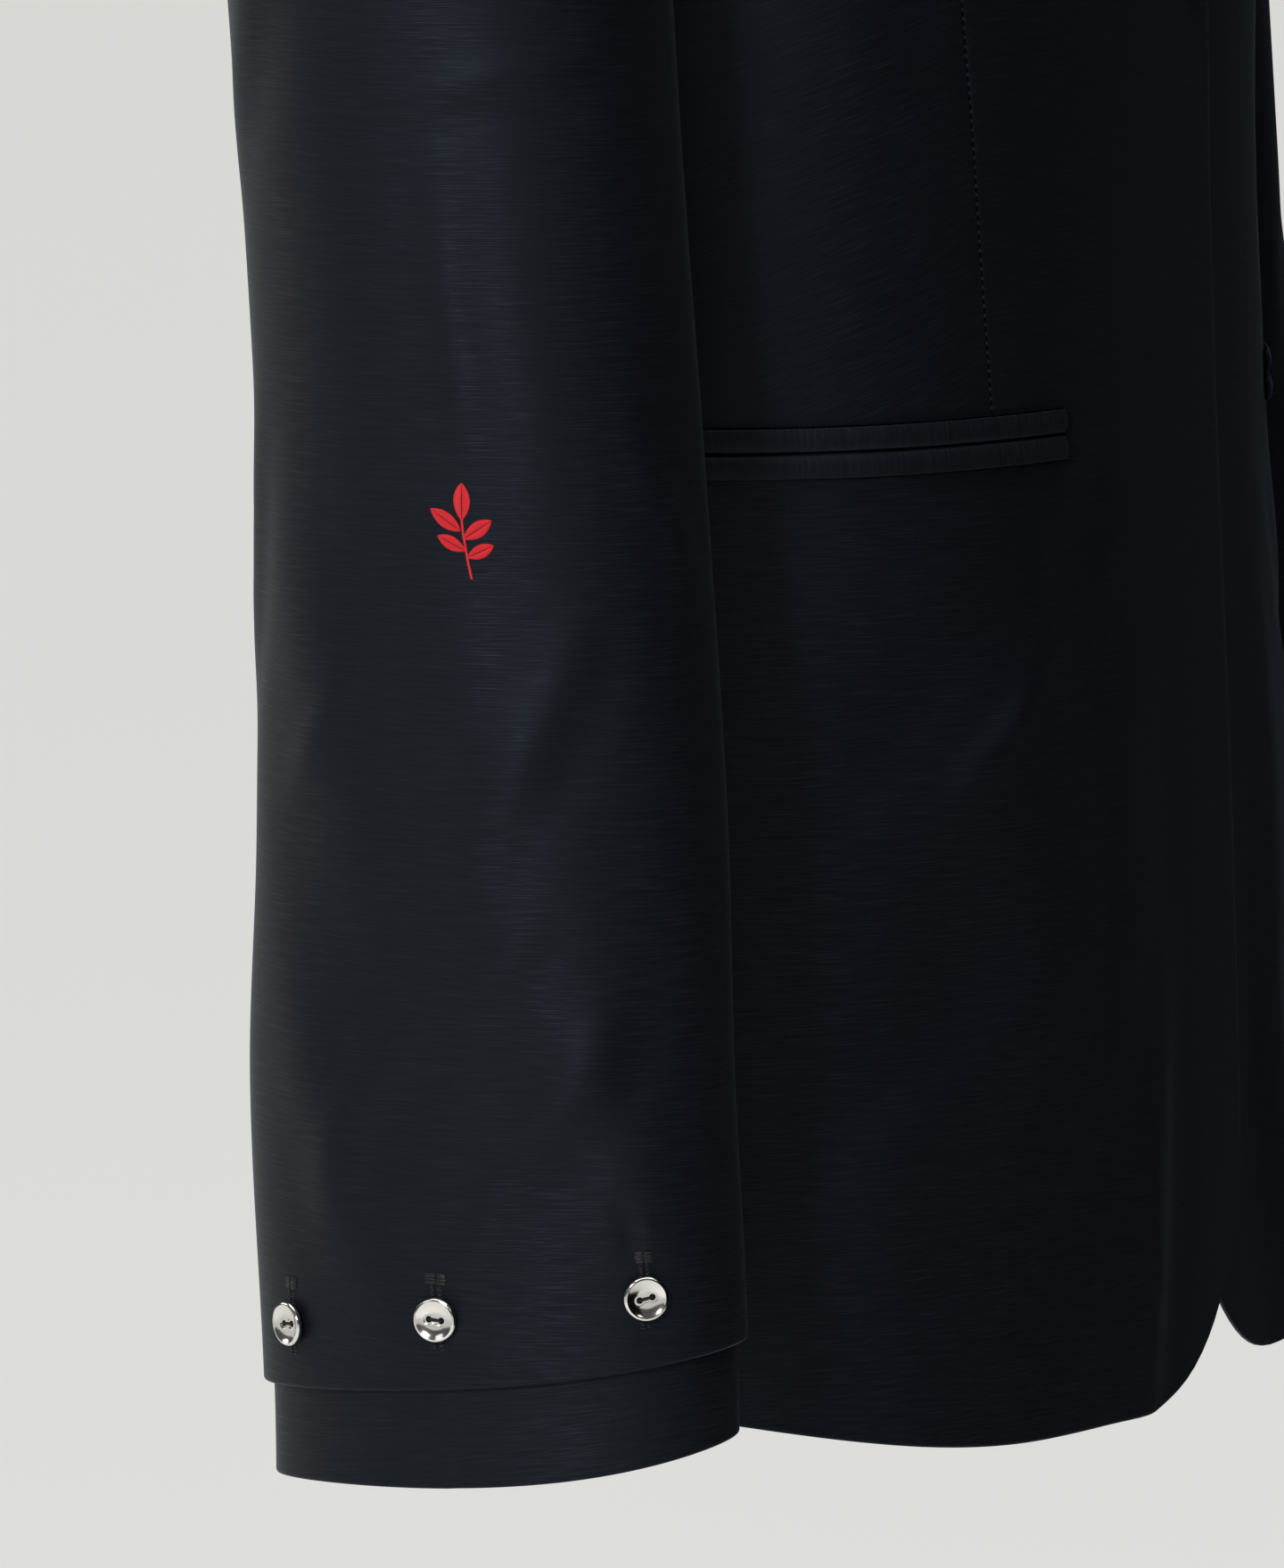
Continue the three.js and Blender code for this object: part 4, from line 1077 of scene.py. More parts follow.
@dataclass
class Back(Panel):
    """A back, from the centre seam to the side seam and armhole."""

    columns: int = 56
    row_pitch: float = 4.4

    KIND = "back"
    SEWN = (FIRST_COLUMN, LAST_COLUMN, LAST_ROW)

    def surface(self) -> Surface:
        """Both backs lie on the outer form."""
        return self.body.surface(False, BODY_CREASES[self.side])

    def grid(self) -> Grid:
        """The back, whose inner edge leaves the centre along the neck."""
        body = self.body
        gap = SleeveForm.SEAM_GAP / 2
        hem_rows = stations(480.0, self.row_pitch)
        arms = np.concatenate([np.arange(178.0, 46.0, -2.4), np.arange(45.0, -0.1, -1.5)])
        arm = np.concatenate([np.full(len(hem_rows), 180.0), arms])[:, None]
        across = stations(250.0, 250.0 / self.columns)
        neck_x = look_up([0, 15, 30, 45], [body.NECK_HALF, 62, 40, 0], arm) * (arm <= 45)
        rise = np.concatenate([hem_rows, np.ones(len(arms))])[:, None]
        plain = np.minimum(body.armhole_level(arm), body.SHOULDER_SEAM - 0.001)
        sunk = mix(np.minimum(body.neck_level(neck_x), plain), plain, ease(0, 0.6, across))
        on_neck = np.where(arm <= 45, sunk, plain)
        level = np.broadcast_to(on_neck, (len(arm), len(across))).copy()
        for _ in range(3):
            turn = self._turns(level, arm, neck_x, across, gap)
            below = mix(body.hem_level(turn[:1]), body.UNDERARM, rise)
            level = np.where(arm >= 180, below, on_neck)
        turn = self._turns(level, arm, neck_x, across, gap)
        points = self.surface()(level, turn)
        points[-1, :, 1] = gap
        normals = -grid_normals(points)
        points = turn_in(points, normals, self.seam_drop, self.seam_reach, True, (False, True))
        return Grid(points, normals, level_row=len(hem_rows) - 1)

    def _turns(self, level: Array, arm: Array, neck_x: Array, across: Array, gap: float) -> Array:
        """Turns from the centre or neck edge to the side seam or armhole."""
        body = self.body
        near, far = level[:, :1], level[:, -1:]
        centre = body.turn_at_x(near, neck_x, True)
        centre = np.where(neck_x <= 0, nudge(body.form, near, centre, -gap), centre)
        seam = nudge(body.form, far, body.turn_at_y(far, body.SIDE_SEAM_BACK_Y), gap)
        hole = np.array([float(body.armhole_turn(0.0, float(a), True)) for a in arm[:, 0]])[:, None]
        outer = np.where(arm < body.arm_turn_at_y(body.SIDE_SEAM_BACK_Y), hole, seam)
        return mix(centre, outer, across)


@dataclass
class Lapel(Panel):
    """A lapel, laid on its front from the roll line outwards."""

    rows: int = 110
    columns: int = 34
    gap: float = 1.5
    solid_cloth: float = 1.6
    roll: float = 4.0
    roll_width: float = 46.0

    KIND = "lapel"
    HELD = Held.FOLDED

    INNER = [-289, -273, -248, -216, -181, -148, -117, -92, -52]
    OUTER = [-289, -271, -243, -210, -174, -142, -114, -100, -86]
    WIDTH = [5, 19, 37, 55, 71, 83, 91, 96, 96]
    EDGE_POWER = 1.2

    def grid(self) -> Grid:
        """The lapel with its soft roll and its notch edge."""
        first = 1 if self.side is Side.LEFT else 0
        at = np.linspace(first, len(self.INNER) - 1, self.rows)
        keys = list(range(len(self.INNER)))
        inner, outer, width = (look_up(keys, t, at)[:, None] for t in (self.INNER, self.OUTER, self.WIDTH))
        across = stations(80.0, 80.0 / self.columns)
        level = mix(inner, outer, across)
        x = self.body.roll_line_x(level) + width * across**self.EDGE_POWER
        turn = self.body.turn_at_x(level, x)
        surface = self.surface()
        normal = normal_of(surface, level, turn)
        low, high = (-225, -150) if self.side is Side.LEFT else (self.body.BREAK, self.body.BREAK + 60)
        away = np.clip((x - self.body.roll_line_x(level)) / self.roll_width, 0, 1)
        lift = self.gap + self.solid_cloth + self.roll * ease(low, high, level) * np.sin(math.pi * away)
        points = surface(level, turn) + normal * lift[..., None]
        normals = grid_normals(points)
        return Grid(turn_in(points, normals, 0.3, 1.5, True, (False, True)), normals)


@dataclass
class Collar(Panel):
    """The collar: a stand that rises from the neck edge and a fall laid on the shoulders."""

    along: int = 150
    gap: float = 2.8
    fold_width: float = 7.0
    lean: float = 2.0
    bulge: float = 2.0
    solid_cloth: float = 1.6
    evenings: int = 3
    ridge_evening: float = 0.12

    KIND = "collar"
    HELD = Held.FOLDED

    # Face, neck x or turn, stand, upright, fall x, fall level, from the centre back to the gorge.
    ROWS = [
        ("back", 0, 38, 1, 0, -46),
        ("back", 40, 34, 1, 54, -40),
        ("back", 62, 26, 1, 89, -24),
        ("ridge", 75, 19, 1, 113, 15),
        ("front", 15, 18, 0.9, 117, 5),
        ("front", 30, 15, 0.75, 120, -15),
        ("front", 45, 11, 0.5, 120, -38),
        ("front", 60, 6, 0.2, 116, -63),
    ]

    def neck_edge(self, face: str, place: float) -> tuple[Array, Array, Array]:
        """The neck edge at a row: its point, its normal and the way on past the edge."""
        body = self.body
        surface = body.surface(False)
        back = face == "back"
        if back:
            level, x = float(body.neck_level(place)), place
        elif face == "ridge":
            level, x = body.SHOULDER_SEAM - 0.001, place
        else:
            level = float(body.armhole_level(place))
            x = float(body.roll_line_x(np.array(level)))
        at = np.array(level)
        turn = body.turn_at_x(at, x, back)
        point, normal = surface(at, turn), normal_of(surface, at, turn)
        if face == "ridge":
            past = np.array([-1.0, 0.0, body.SHOULDER_FALL])
            point[1], normal[1] = 0.0, 0.0
            normal = unit(normal)
        elif back:
            top = np.array(min(level + 3, body.SHOULDER_SEAM))
            past = surface(top, body.turn_at_x(at, max(x - 3, 0), True)) - point
        else:
            past = surface(at, body.turn_at_x(at, x - 3)) - point
        return point, normal, unit(past - normal * np.dot(past, normal))

    def section(self, row: tuple, edge: tuple[Array, Array, Array]) -> Array:
        """One section of the collar, from the neck edge over the fold to the fall's edge."""
        face, _, stand, upright, fall_x, fall_level = row
        body = self.body
        point, normal, past = edge
        foot = point - normal * self.solid_cloth + past * SleeveForm.SEAM_GAP
        level = np.array(min(fall_level, body.SHOULDER_SEAM - 0.001))
        surface = body.surface(False)
        turn = body.turn_at_x(level, fall_x, face == "back")
        fall, out = surface(level, turn), normal_of(surface, level, turn)
        if face == "ridge":
            fall[1], out[1] = 0.0, 0.0
            out = unit(out)
        fall = fall + out * (self.gap + self.solid_cloth)
        rise = unit(past * (1 - upright) + np.array([0, 0, upright]))
        away = fall - foot
        away = unit(away - rise * np.dot(away, rise))
        fold = self.fold_width

        def place(up: float, across: float) -> Array:
            return foot + rise * up + away * across

        shoulder = place(stand - fold / 4, fold)
        middle = (shoulder + fall) / 2 + normal * self.bulge
        return np.array([foot, place(stand * 0.5, -self.lean), place(stand - fold / 4, -self.lean / 2),
                         place(stand, fold / 2), shoulder, middle, fall])

    def _evened(self, whole: Array) -> Array:
        """Evens the sections out along the collar, less where its edge lies on the shoulders."""
        ridge = 2 * [row[0] for row in self.ROWS].index("ridge")
        middle = len(whole) // 2
        share = np.full((len(whole), whole.shape[1], 1), 0.5)
        share[:, 0] = 0.0
        share[[middle - ridge, middle + ridge], -2:] = self.ridge_evening
        for _ in range(self.evenings):
            between = (whole[:-2] + whole[2:]) / 2
            whole[1:-1] = mix(whole[1:-1], between, share[1:-1])
        return whole

    def grid(self) -> Grid:
        """The collar's outer face, smooth through its sections."""
        edges = [self.neck_edge(row[0], row[1]) for row in self.ROWS]
        sections = [self.section(self.ROWS[0], edges[0])]
        for k in range(1, len(self.ROWS)):
            a, b = self.ROWS[k - 1], self.ROWS[k]
            face = a[0] if b[0] == "ridge" else b[0]
            between = (face, 0) + tuple((a[n] + b[n]) / 2 for n in range(2, 6))
            pair = [(edges[k - 1][n] + edges[k][n]) / 2 for n in range(3)]
            sections.append(self.section(between, (pair[0], unit(pair[1]), unit(pair[2]))))
            sections.append(self.section(b, edges[k]))
        half = np.array(sections)
        whole = self._evened(np.concatenate([half[:0:-1], half * [-1, 1, 1]]))
        count = len(whole)
        at = np.linspace(0, count - 1, self.along)
        over = np.array([0, 0.12, 0.3, 0.6, 1, 1.3, 1.6, 1.85, 2.1, 2.35, 2.6, 2.8, 3, 3.2, 3.4, 3.65, 4,
                         4.2, 4.5, 4.8, 5.1, 5.4, 5.6, 5.75, 5.87, 5.95, 6])
        order = list(range(count))
        rows = np.stack([[look_up(order, whole[:, j, n], at) for n in range(3)] for j in range(7)])
        keys = list(range(7))
        points = np.stack(
            [[look_up(keys, rows[:, n, k], over) for n in range(3)] for k in range(self.along)]
        )
        points = points.transpose(0, 2, 1)
        return Grid(points, grid_normals(points))


@dataclass
class SleevePiece(Panel):
    """One of the two pieces of a sleeve, from the armhole to the cuff's edge."""

    tube: Optional[SleeveForm] = None
    start_turn: float = 0.0
    end_turn: float = 0.0
    pitch: float = 3.2
    cap_rows: int = 36
    sag: float = 3.2
    tilt_from: float = -565.0
    tilt_to: float = -671.0

    def creased(self) -> Surface:
        """The tube with this side's creases."""
        return self.tube.tube(0.0, SLEEVE_CREASES[self.side])

    def grid(self) -> Grid:
        """The piece, from its cap down to the cuff."""
        tube = self.tube
        creased = self.creased()
        span = (self.end_turn - self.start_turn) * tube.PITCH
        turns = mix(self.start_turn, self.end_turn, stations(span, self.pitch))
        inset = SleeveForm.SEAM_GAP / 2 / tube.PITCH
        turns[0] += inset
        turns[-1] -= inset
        share = stations(110.0, 110.0 / self.cap_rows)[:, None]
        end = creased(np.full(turns.shape, tube.TOP), turns)
        end = np.broadcast_to(end, (len(share),) + end.shape)
        wide = np.broadcast_to(turns, (len(share), len(turns)))
        cap = tube.cap(np.broadcast_to(share, wide.shape), wide, end)
        down = stations(tube.TOP - tube.HEM, self.pitch)[4:]
        row = mix(tube.TOP, tube.HEM, down)[:, None]
        tilt = ease(self.tilt_from, self.tilt_to, row)
        level = mix(row, np.stack([tube.edge_level(float(r), turns, self.sag) for r in row[:, 0]]), tilt)
        lower = creased(level, np.broadcast_to(turns, level.shape))
        points = np.concatenate([cap, lower])
        normals = grid_normals(points)
        points = turn_in(points, normals, self.seam_drop, self.seam_reach, True, (True, False))
        return Grid(points, normals, level_row=len(share))


@dataclass
class UpperSleeve(SleevePiece):
    """The upper sleeve: the outer side of the arm."""

    start_turn: float = SleeveForm.BACK_SEAM - 360
    end_turn: float = SleeveForm.FRONT_SEAM

    KIND = "sleeve_upper"
    SEWN = (FIRST_ROW, FIRST_COLUMN, LAST_COLUMN)


@dataclass
class UnderSleeve(SleevePiece):
    """The under sleeve: the side next to the body."""

    start_turn: float = SleeveForm.FRONT_SEAM
    end_turn: float = SleeveForm.BACK_SEAM
    pitch: float = 4.2

    KIND = "sleeve_under"
    SEWN = (FIRST_ROW,)


@dataclass
class InnerCuff(Panel):
    """The ring of cloth inside a sleeve that shows below its edge."""

    tube: Optional[SleeveForm] = None
    thickness: float = 1.0
    pitch: float = 3.2
    top: float = -636.0
    below_top: float = -652.0
    sag: float = 5.4
    top_inset: float = 2.1
    inset: float = 3.1

    KIND = "inner_cuff"

    def grid(self) -> Grid:
        """The ring, a little inside the sleeve."""
        tube = self.tube
        turns = np.arange(0, 360, self.pitch / tube.PITCH)
        down = stations(self.top - tube.INNER_HEM, self.pitch)
        row = mix(self.top, tube.INNER_HEM, down)
        edges = [tube.edge_level(float(r), turns, self.sag * share) for r, share in zip(row, down)]
        level = np.stack(edges)
        creased = tube.tube(0.0, SLEEVE_CREASES[self.side])
        wide = np.broadcast_to(turns, level.shape)
        outer = creased(level, wide)
        inward = normal_of(tube.form, level, wide, reverse=True)
        deep = mix(self.top_inset, self.inset, ease(self.top, self.below_top, row))[:, None]
        points = outer - inward * deep[..., None]
        return Grid(points, grid_normals(points, True), None, True)


@dataclass
class PocketWelt(Panel):
    """One of the two folded strips of a pocket's mouth."""

    above: bool = True
    thickness: float = 1.3
    height: float = 7.0
    slit: float = 0.7
    front_x: float = 91.5
    rear_y: float = -33.0
    lay_gap: float = 0.5
    crown: float = 0.5
    run: float = 108.0
    fold_dip: float = 0.55
    fold_reach: float = 0.7
    thread_lift: float = 0.35
    edge_stitch: float = 1.4
    edge_share: float = 0.012
    end_stitch: float = 0.85
    end_pitch: float = 0.75

    SLOT = WELT_SLOT
    HELD = Held.FOLDED

    @property
    def node(self) -> str:
        """The name of the node it replaces."""
        return f"pocket_welt_{'top' if self.above else 'bottom'}_{self.side.label}"

    def grid(self) -> Grid:
        """The strip, rounded over its fold along the slit."""
        body = self.body
        low = body.POCKET_LEVEL + (self.slit / 2 if self.above else -self.slit / 2 - self.height)
        rise = stations(self.height, 0.5, (0.15, 0.4, 0.8))[:, None]
        level = low + self.height * rise
        start = body.turn_at_x(level, self.front_x)
        end = body.turn_at_y(level, self.rear_y)
        along = stations(self.run, 2.4)
        turn = mix(start, end, along)
        surface = self.surface()
        wide = np.broadcast_to(level, turn.shape)
        normal = normal_of(surface, wide, turn)
        round_over = self.crown * np.sin(math.pi * rise)
        fold = np.where(self.above, rise, 1 - rise)
        dip = self.fold_dip * np.exp(-fold * self.height / self.fold_reach)
        ripple = 0.06 * np.sin(along * self.run / 2.1) * np.exp(-((rise - 0.5) ** 2) * 9)
        lift = self.lay_gap + self.thickness + round_over - dip - ripple
        points = surface(wide, turn) + normal * lift[..., None]
        return Grid(points, grid_normals(points))

    def outline(self, thread: "Stitches") -> None:
        """Adds near-black stitches along the strips' upper edge and across their front end, as painted
        shade in the grooves there.
        """
        body, surface = self.body, self.surface()
        flip = np.array([self.side.value, 1, 1])
        reach = self.slit / 2 + self.height
        top = np.array(body.POCKET_LEVEL + reach + 0.25)
        first = body.turn_at_x(top, self.front_x)
        last = body.turn_at_y(top, self.rear_y)
        shares = np.arange(0, 1, self.edge_share)
        runs = [(top, mix(first, last, share), self.edge_stitch) for share in shares]
        for up in np.arange(-reach, reach, self.end_pitch):
            level = np.array(body.POCKET_LEVEL + up)
            runs.append((level, body.turn_at_x(level, self.front_x - 0.35), 0.0))
        for level, turn, length in runs:
            normal = normal_of(surface, level, turn)
            start = surface(level, turn) + normal * self.thread_lift
            onward = nudge(surface, level, turn, length) if length else turn
            end = surface(level + (0 if length else self.end_stitch), onward) + normal * self.thread_lift
            thread.add(start * flip, end * flip, normal * flip, 0.6, 1.5)


class Stitches:
    """Many short stitches, copied from one and joined in one mesh."""

    def __init__(self, name: str) -> None:
        """Models the stitch that is copied: a small rounded bar along X."""
        self.name = name
        self.places: list[tuple[Array, Array, Array, float, float, float]] = []
        self.verts, self.faces = self._one_stitch()

    @staticmethod
    def _one_stitch() -> tuple[Array, Array]:
        """Vertices and faces of a stitch one unit long, wide and high."""
        bpy.ops.object.select_all(action="DESELECT")
        bpy.ops.mesh.primitive_uv_sphere_add(segments=8, ring_count=6, radius=0.5)
        made = bpy.context.active_object
        bpy.ops.object.mode_set(mode="EDIT")
        bpy.ops.mesh.select_all(action="SELECT")
        bpy.ops.transform.rotate(value=math.pi / 2, orient_axis="Y", center_override=(0, 0, 0))
        bpy.ops.mesh.quads_convert_to_tris()
        bpy.ops.object.mode_set(mode="OBJECT")
        verts = np.array([list(v.co) for v in made.data.vertices])
        faces = np.array([list(p.vertices) for p in made.data.polygons])
        verts[:, 0] = np.sign(verts[:, 0]) * 0.5 * np.abs(verts[:, 0] * 2) ** 0.6
        bpy.data.objects.remove(made)
        return verts, faces

    def add(self, start: Array, end: Array, normal: Array, width: float, height: float) -> None:
        """Lays one stitch between two points, in millimetres.

        Args:
            start: Its start.
            end: Its end.
            normal: The way out of the cloth.
            width: Its width.
            height: Its height off the cloth.
        """
        line = np.asarray(end, float) - np.asarray(start, float)
        length = float(np.linalg.norm(line))
        along = line / length
        out = unit(normal - along * np.dot(normal, along))
        self.places.append(((start + end) / 2, along, out, length, width, height))

    def build(self) -> bpy.types.Object:
        """Joins the stitches in one object at the origin."""
        verts, faces = [], []
        for k, (centre, along, out, length, width, height) in enumerate(self.places):
            across = np.cross(out, along)
            local = self.verts * [length, width, height]
            verts.append(centre + local[:, :1] * along + local[:, 1:2] * across + local[:, 2:] * out)
            faces.append(self.faces + k * len(self.verts))
        mesh = bpy.data.meshes.new(self.name)
        mesh.from_pydata((np.concatenate(verts) * MM).tolist(), [], np.concatenate(faces).tolist())
        mesh.shade_smooth()
        piece = bpy.data.objects.new(self.name, mesh)
        bpy.context.collection.objects.link(piece)
        return piece


@dataclass
class Button:
    """A round two-hole metal button with a raised rim round a dished face.

    Args:
        name: Its node's name.
        radius: Its radius in millimetres.
        spin: How far its holes are turned about its middle, in degrees.
    """

    name: str
    radius: float
    spin: float = 0.0
    height: float = 2.4
    rim: float = 1.3
    soft_edge: float = 0.12
    hole_radius: float = 0.95
    hole_apart: float = 1.85
    recess_radius: float = 1.55
    recess_depth: float = 0.35
    solid_radius: float = 6.35
    piece: Optional[bpy.types.Object] = None

    # Each step of the profile: its rise as a share of the height, then its share of the radius,
    # less a share of the rim.
    FOOT = 0.72
    PROFILE = [
        (0.22, 0.93, 0.0),
        (0.2, 1.0, 0.0),
        (0.34, 1.0, 0.0),
        (0.16, 1.0, 0.22),
        (0.07, 1.0, 0.6),
        (-0.1, 1.0, 1.0),
        (-0.16, 0.66, 0.0),
        (-0.08, 0.396, 0.0),
    ]
    FACE = 0.65
    CUT_TOP = 5.0

    @property
    def size(self) -> float:
        """How much larger it is than a cuff button."""
        return self.radius / self.solid_radius

    def build(self, place: Array, normal: Array) -> None:
        """Models the button and puts it on the cloth.

        Args:
            place: The middle of its back, in millimetres.
            normal: The way its face looks.
        """
        size = self.size
        height = self.height * size
        radius = self.radius * self.FOOT
        bpy.ops.object.select_all(action="DESELECT")
        bpy.ops.mesh.primitive_cylinder_add(vertices=64, radius=radius, depth=0.02, location=(0, 0, 0.01))
        self.piece = bpy.context.active_object
        self.piece.name = self.name + "_metal"
        bpy.ops.object.transform_apply(location=True, rotation=False, scale=False)
        bpy.ops.object.mode_set(mode="EDIT")
        bpy.ops.mesh.select_mode(type="FACE")
        bpy.ops.mesh.select_all(action="DESELECT")
        mesh = bmesh.from_edit_mesh(self.piece.data)
        top = max((f for f in mesh.faces if len(f.verts) > 4), key=lambda f: f.calc_center_median().z)
        top.select = True
        bmesh.update_edit_mesh(self.piece.data)
        for rise, share, inset in self.PROFILE:
            reach = self.radius * share - self.rim * size * inset
            self._raise(height * rise, reach / radius)
            radius = reach
        bpy.ops.object.mode_set(mode="OBJECT")
        bevel = self.piece.modifiers.new("soft_edges", "BEVEL")
        bevel.width = self.soft_edge * size
        bevel.segments = 2
        bevel.limit_method = "ANGLE"
        bevel.angle_limit = math.radians(28)
        bpy.ops.object.modifier_apply(modifier=bevel.name)
        recess, top = height * self.FACE - self.recess_depth * size, self.CUT_TOP * size
        for shift in (-1, 1):
            across = shift * self.hole_apart * size
            self._cut(across, self.recess_radius * size, recess, top)
            self._cut(across, self.hole_radius * size, -1.0, top)
        self._cut(0.0, self.recess_radius * self.FOOT * size, recess, top)
        bpy.ops.object.select_all(action="DESELECT")
        self.piece.select_set(True)
        bpy.context.view_layer.objects.active = self.piece
        bpy.ops.object.shade_smooth_by_angle(angle=math.radians(32))
        self._place(place, normal)

    def _raise(self, up: float, share: float) -> None:
        """Extrudes the selected face upwards and resizes it."""
        bpy.ops.mesh.extrude_region_move(TRANSFORM_OT_translate={"value": (0, 0, up)})
        bpy.ops.transform.resize(value=(share, share, 1), center_override=(0, 0, 0))

    def _cut(self, across: float, radius: float, low: float, high: float) -> None:
        """Takes a round hole out of the button."""
        bpy.ops.object.select_all(action="DESELECT")
        middle = (across, 0, (low + high) / 2)
        bpy.ops.mesh.primitive_cylinder_add(vertices=32, radius=radius, depth=high - low, location=middle)
        cutter = bpy.context.active_object
        hole = self.piece.modifiers.new("hole", "BOOLEAN")
        hole.operation = "DIFFERENCE"
        hole.object = cutter
        hole.solver = "EXACT"
        bpy.context.view_layer.objects.active = self.piece
        bpy.ops.object.modifier_apply(modifier=hole.name)
        bpy.data.objects.remove(cutter)

    def _place(self, place: Array, normal: Array) -> None:
        """Moves the mesh to its place on the garment, in metres."""
        turn = self.frame(normal)
        basis = Matrix([list(row) for row in turn.T]).to_4x4()
        shift = Matrix.Translation(Vector([float(v) * MM for v in place]))
        self.piece.data.transform(shift @ basis @ Matrix.Scale(MM, 4))
        self.piece.data.update()

    def frame(self, normal: Array) -> Array:
        """The button's across, up and out directions, as rows."""
        out = unit(np.asarray(normal, float))
        flat = unit(np.cross(np.array([0.0, 0.0, 1.0]), out))
        up = np.cross(out, flat)
        angle = math.radians(self.spin)
        across = flat * math.cos(angle) + up * math.sin(angle)
        return np.stack([across, np.cross(out, across), out])

    def sew(self, thread: Stitches, place: Array, normal: Array) -> None:
        """Lays the thread that runs from hole to hole over the middle.

        Args:
            thread: The stitches it is added to.
            place: The middle of the button's back.
            normal: The way its face looks.
        """
        across, up, out = self.frame(normal)
        size = self.size
        level = (self.height * self.FACE - self.recess_depth + 0.3) * size
        for k in range(3):
            side = (k - 1) * 0.3 * size
            reach = (self.hole_apart + 0.3) * size
            lift = level + 0.12 * (1 - abs(k - 1)) * size
            start = place + out * lift - across * reach + up * side
            end = place + out * lift + across * reach + up * side * 0.8
            thread.add(start, end, out, 0.34 * size, 0.5 * size)
        for hole in (-1, 1):
            base = place + across * hole * (self.hole_apart + 0.1) * size
            thread.add(base + out * 0.1, base + out * (level + 0.1), up, 1.1 * size, 1.1 * size)


@dataclass
class Buttonhole:
    """A worked buttonhole: a slit whipped on both sides, with a bar across its top.

    Args:
        surface: The cloth it is worked in.
        level: The level of its middle.
        turn: Where it lies round the sleeve.
        side: The side it is mirrored to.
        pitch: Millimetres for each degree of turn.
    """

    surface: Surface
    level: float
    turn: float
    side: Side
    pitch: float
    length: float = 20.0
    lean: float = 0.02
    stitch_pitch: float = 0.5
    stitch_reach: float = 1.75
    bar_width: float = 6.4
    bar_rows: int = 9
    bar_pitch: float = 0.34
    thread_height: float = 0.62
    uneven: float = 0.16
    bar_uneven: float = 0.3

    def point(self, up: float, across: float, lift: float) -> tuple[Array, Array]:
        """A point over the cloth, and the way out there."""
        level = np.array(self.level + up)
        turn = np.array(self.turn + (across + self.lean * up) / self.pitch)
        normal = normal_of(self.surface, level, turn, reverse=True)
        place = self.surface(level, turn) + normal * lift
        flip = np.array([self.side.value, 1, 1])
        return place * flip, normal * flip

    def work(self, thread: Stitches) -> None:
        """Adds its stitches to a piece of thread."""
        draw = np.random.default_rng(SEED + int(self.turn) % 97)
        count = int(self.length / self.stitch_pitch)
        for k in range(count):
            up = (k / (count - 1) - 0.5) * self.length
            for way in (-1, 1):
                sway = draw.normal(0.0, self.uneven, 3)
                start, out = self.point(up + sway[0], (0.35 + 0.5 * sway[1]) * way, 0.22)
                end, _ = self.point(up + 0.3 + sway[1], (self.stitch_reach + sway[2]) * way, 0.02)
                thread.add(start, end, out, self.stitch_pitch * 0.62, self.thread_height)
        for k in range(self.bar_rows):
            up = self.length / 2 + (k - 3) * self.bar_pitch
            sway = draw.normal(0.0, self.bar_uneven, 4)
            middle, out = self.point(up + 0.5 * sway[0], sway[1], 0.3)
            start, _ = self.point(up + 0.4 * sway[2], -self.bar_width / 2 + abs(sway[2]), 0.08)
            end, _ = self.point(up + 0.4 * sway[3], self.bar_width / 2 - abs(sway[3]), 0.08)
            thread.add(start, middle, out, self.bar_pitch, self.thread_height)
            thread.add(middle, end, out, self.bar_pitch, self.thread_height)


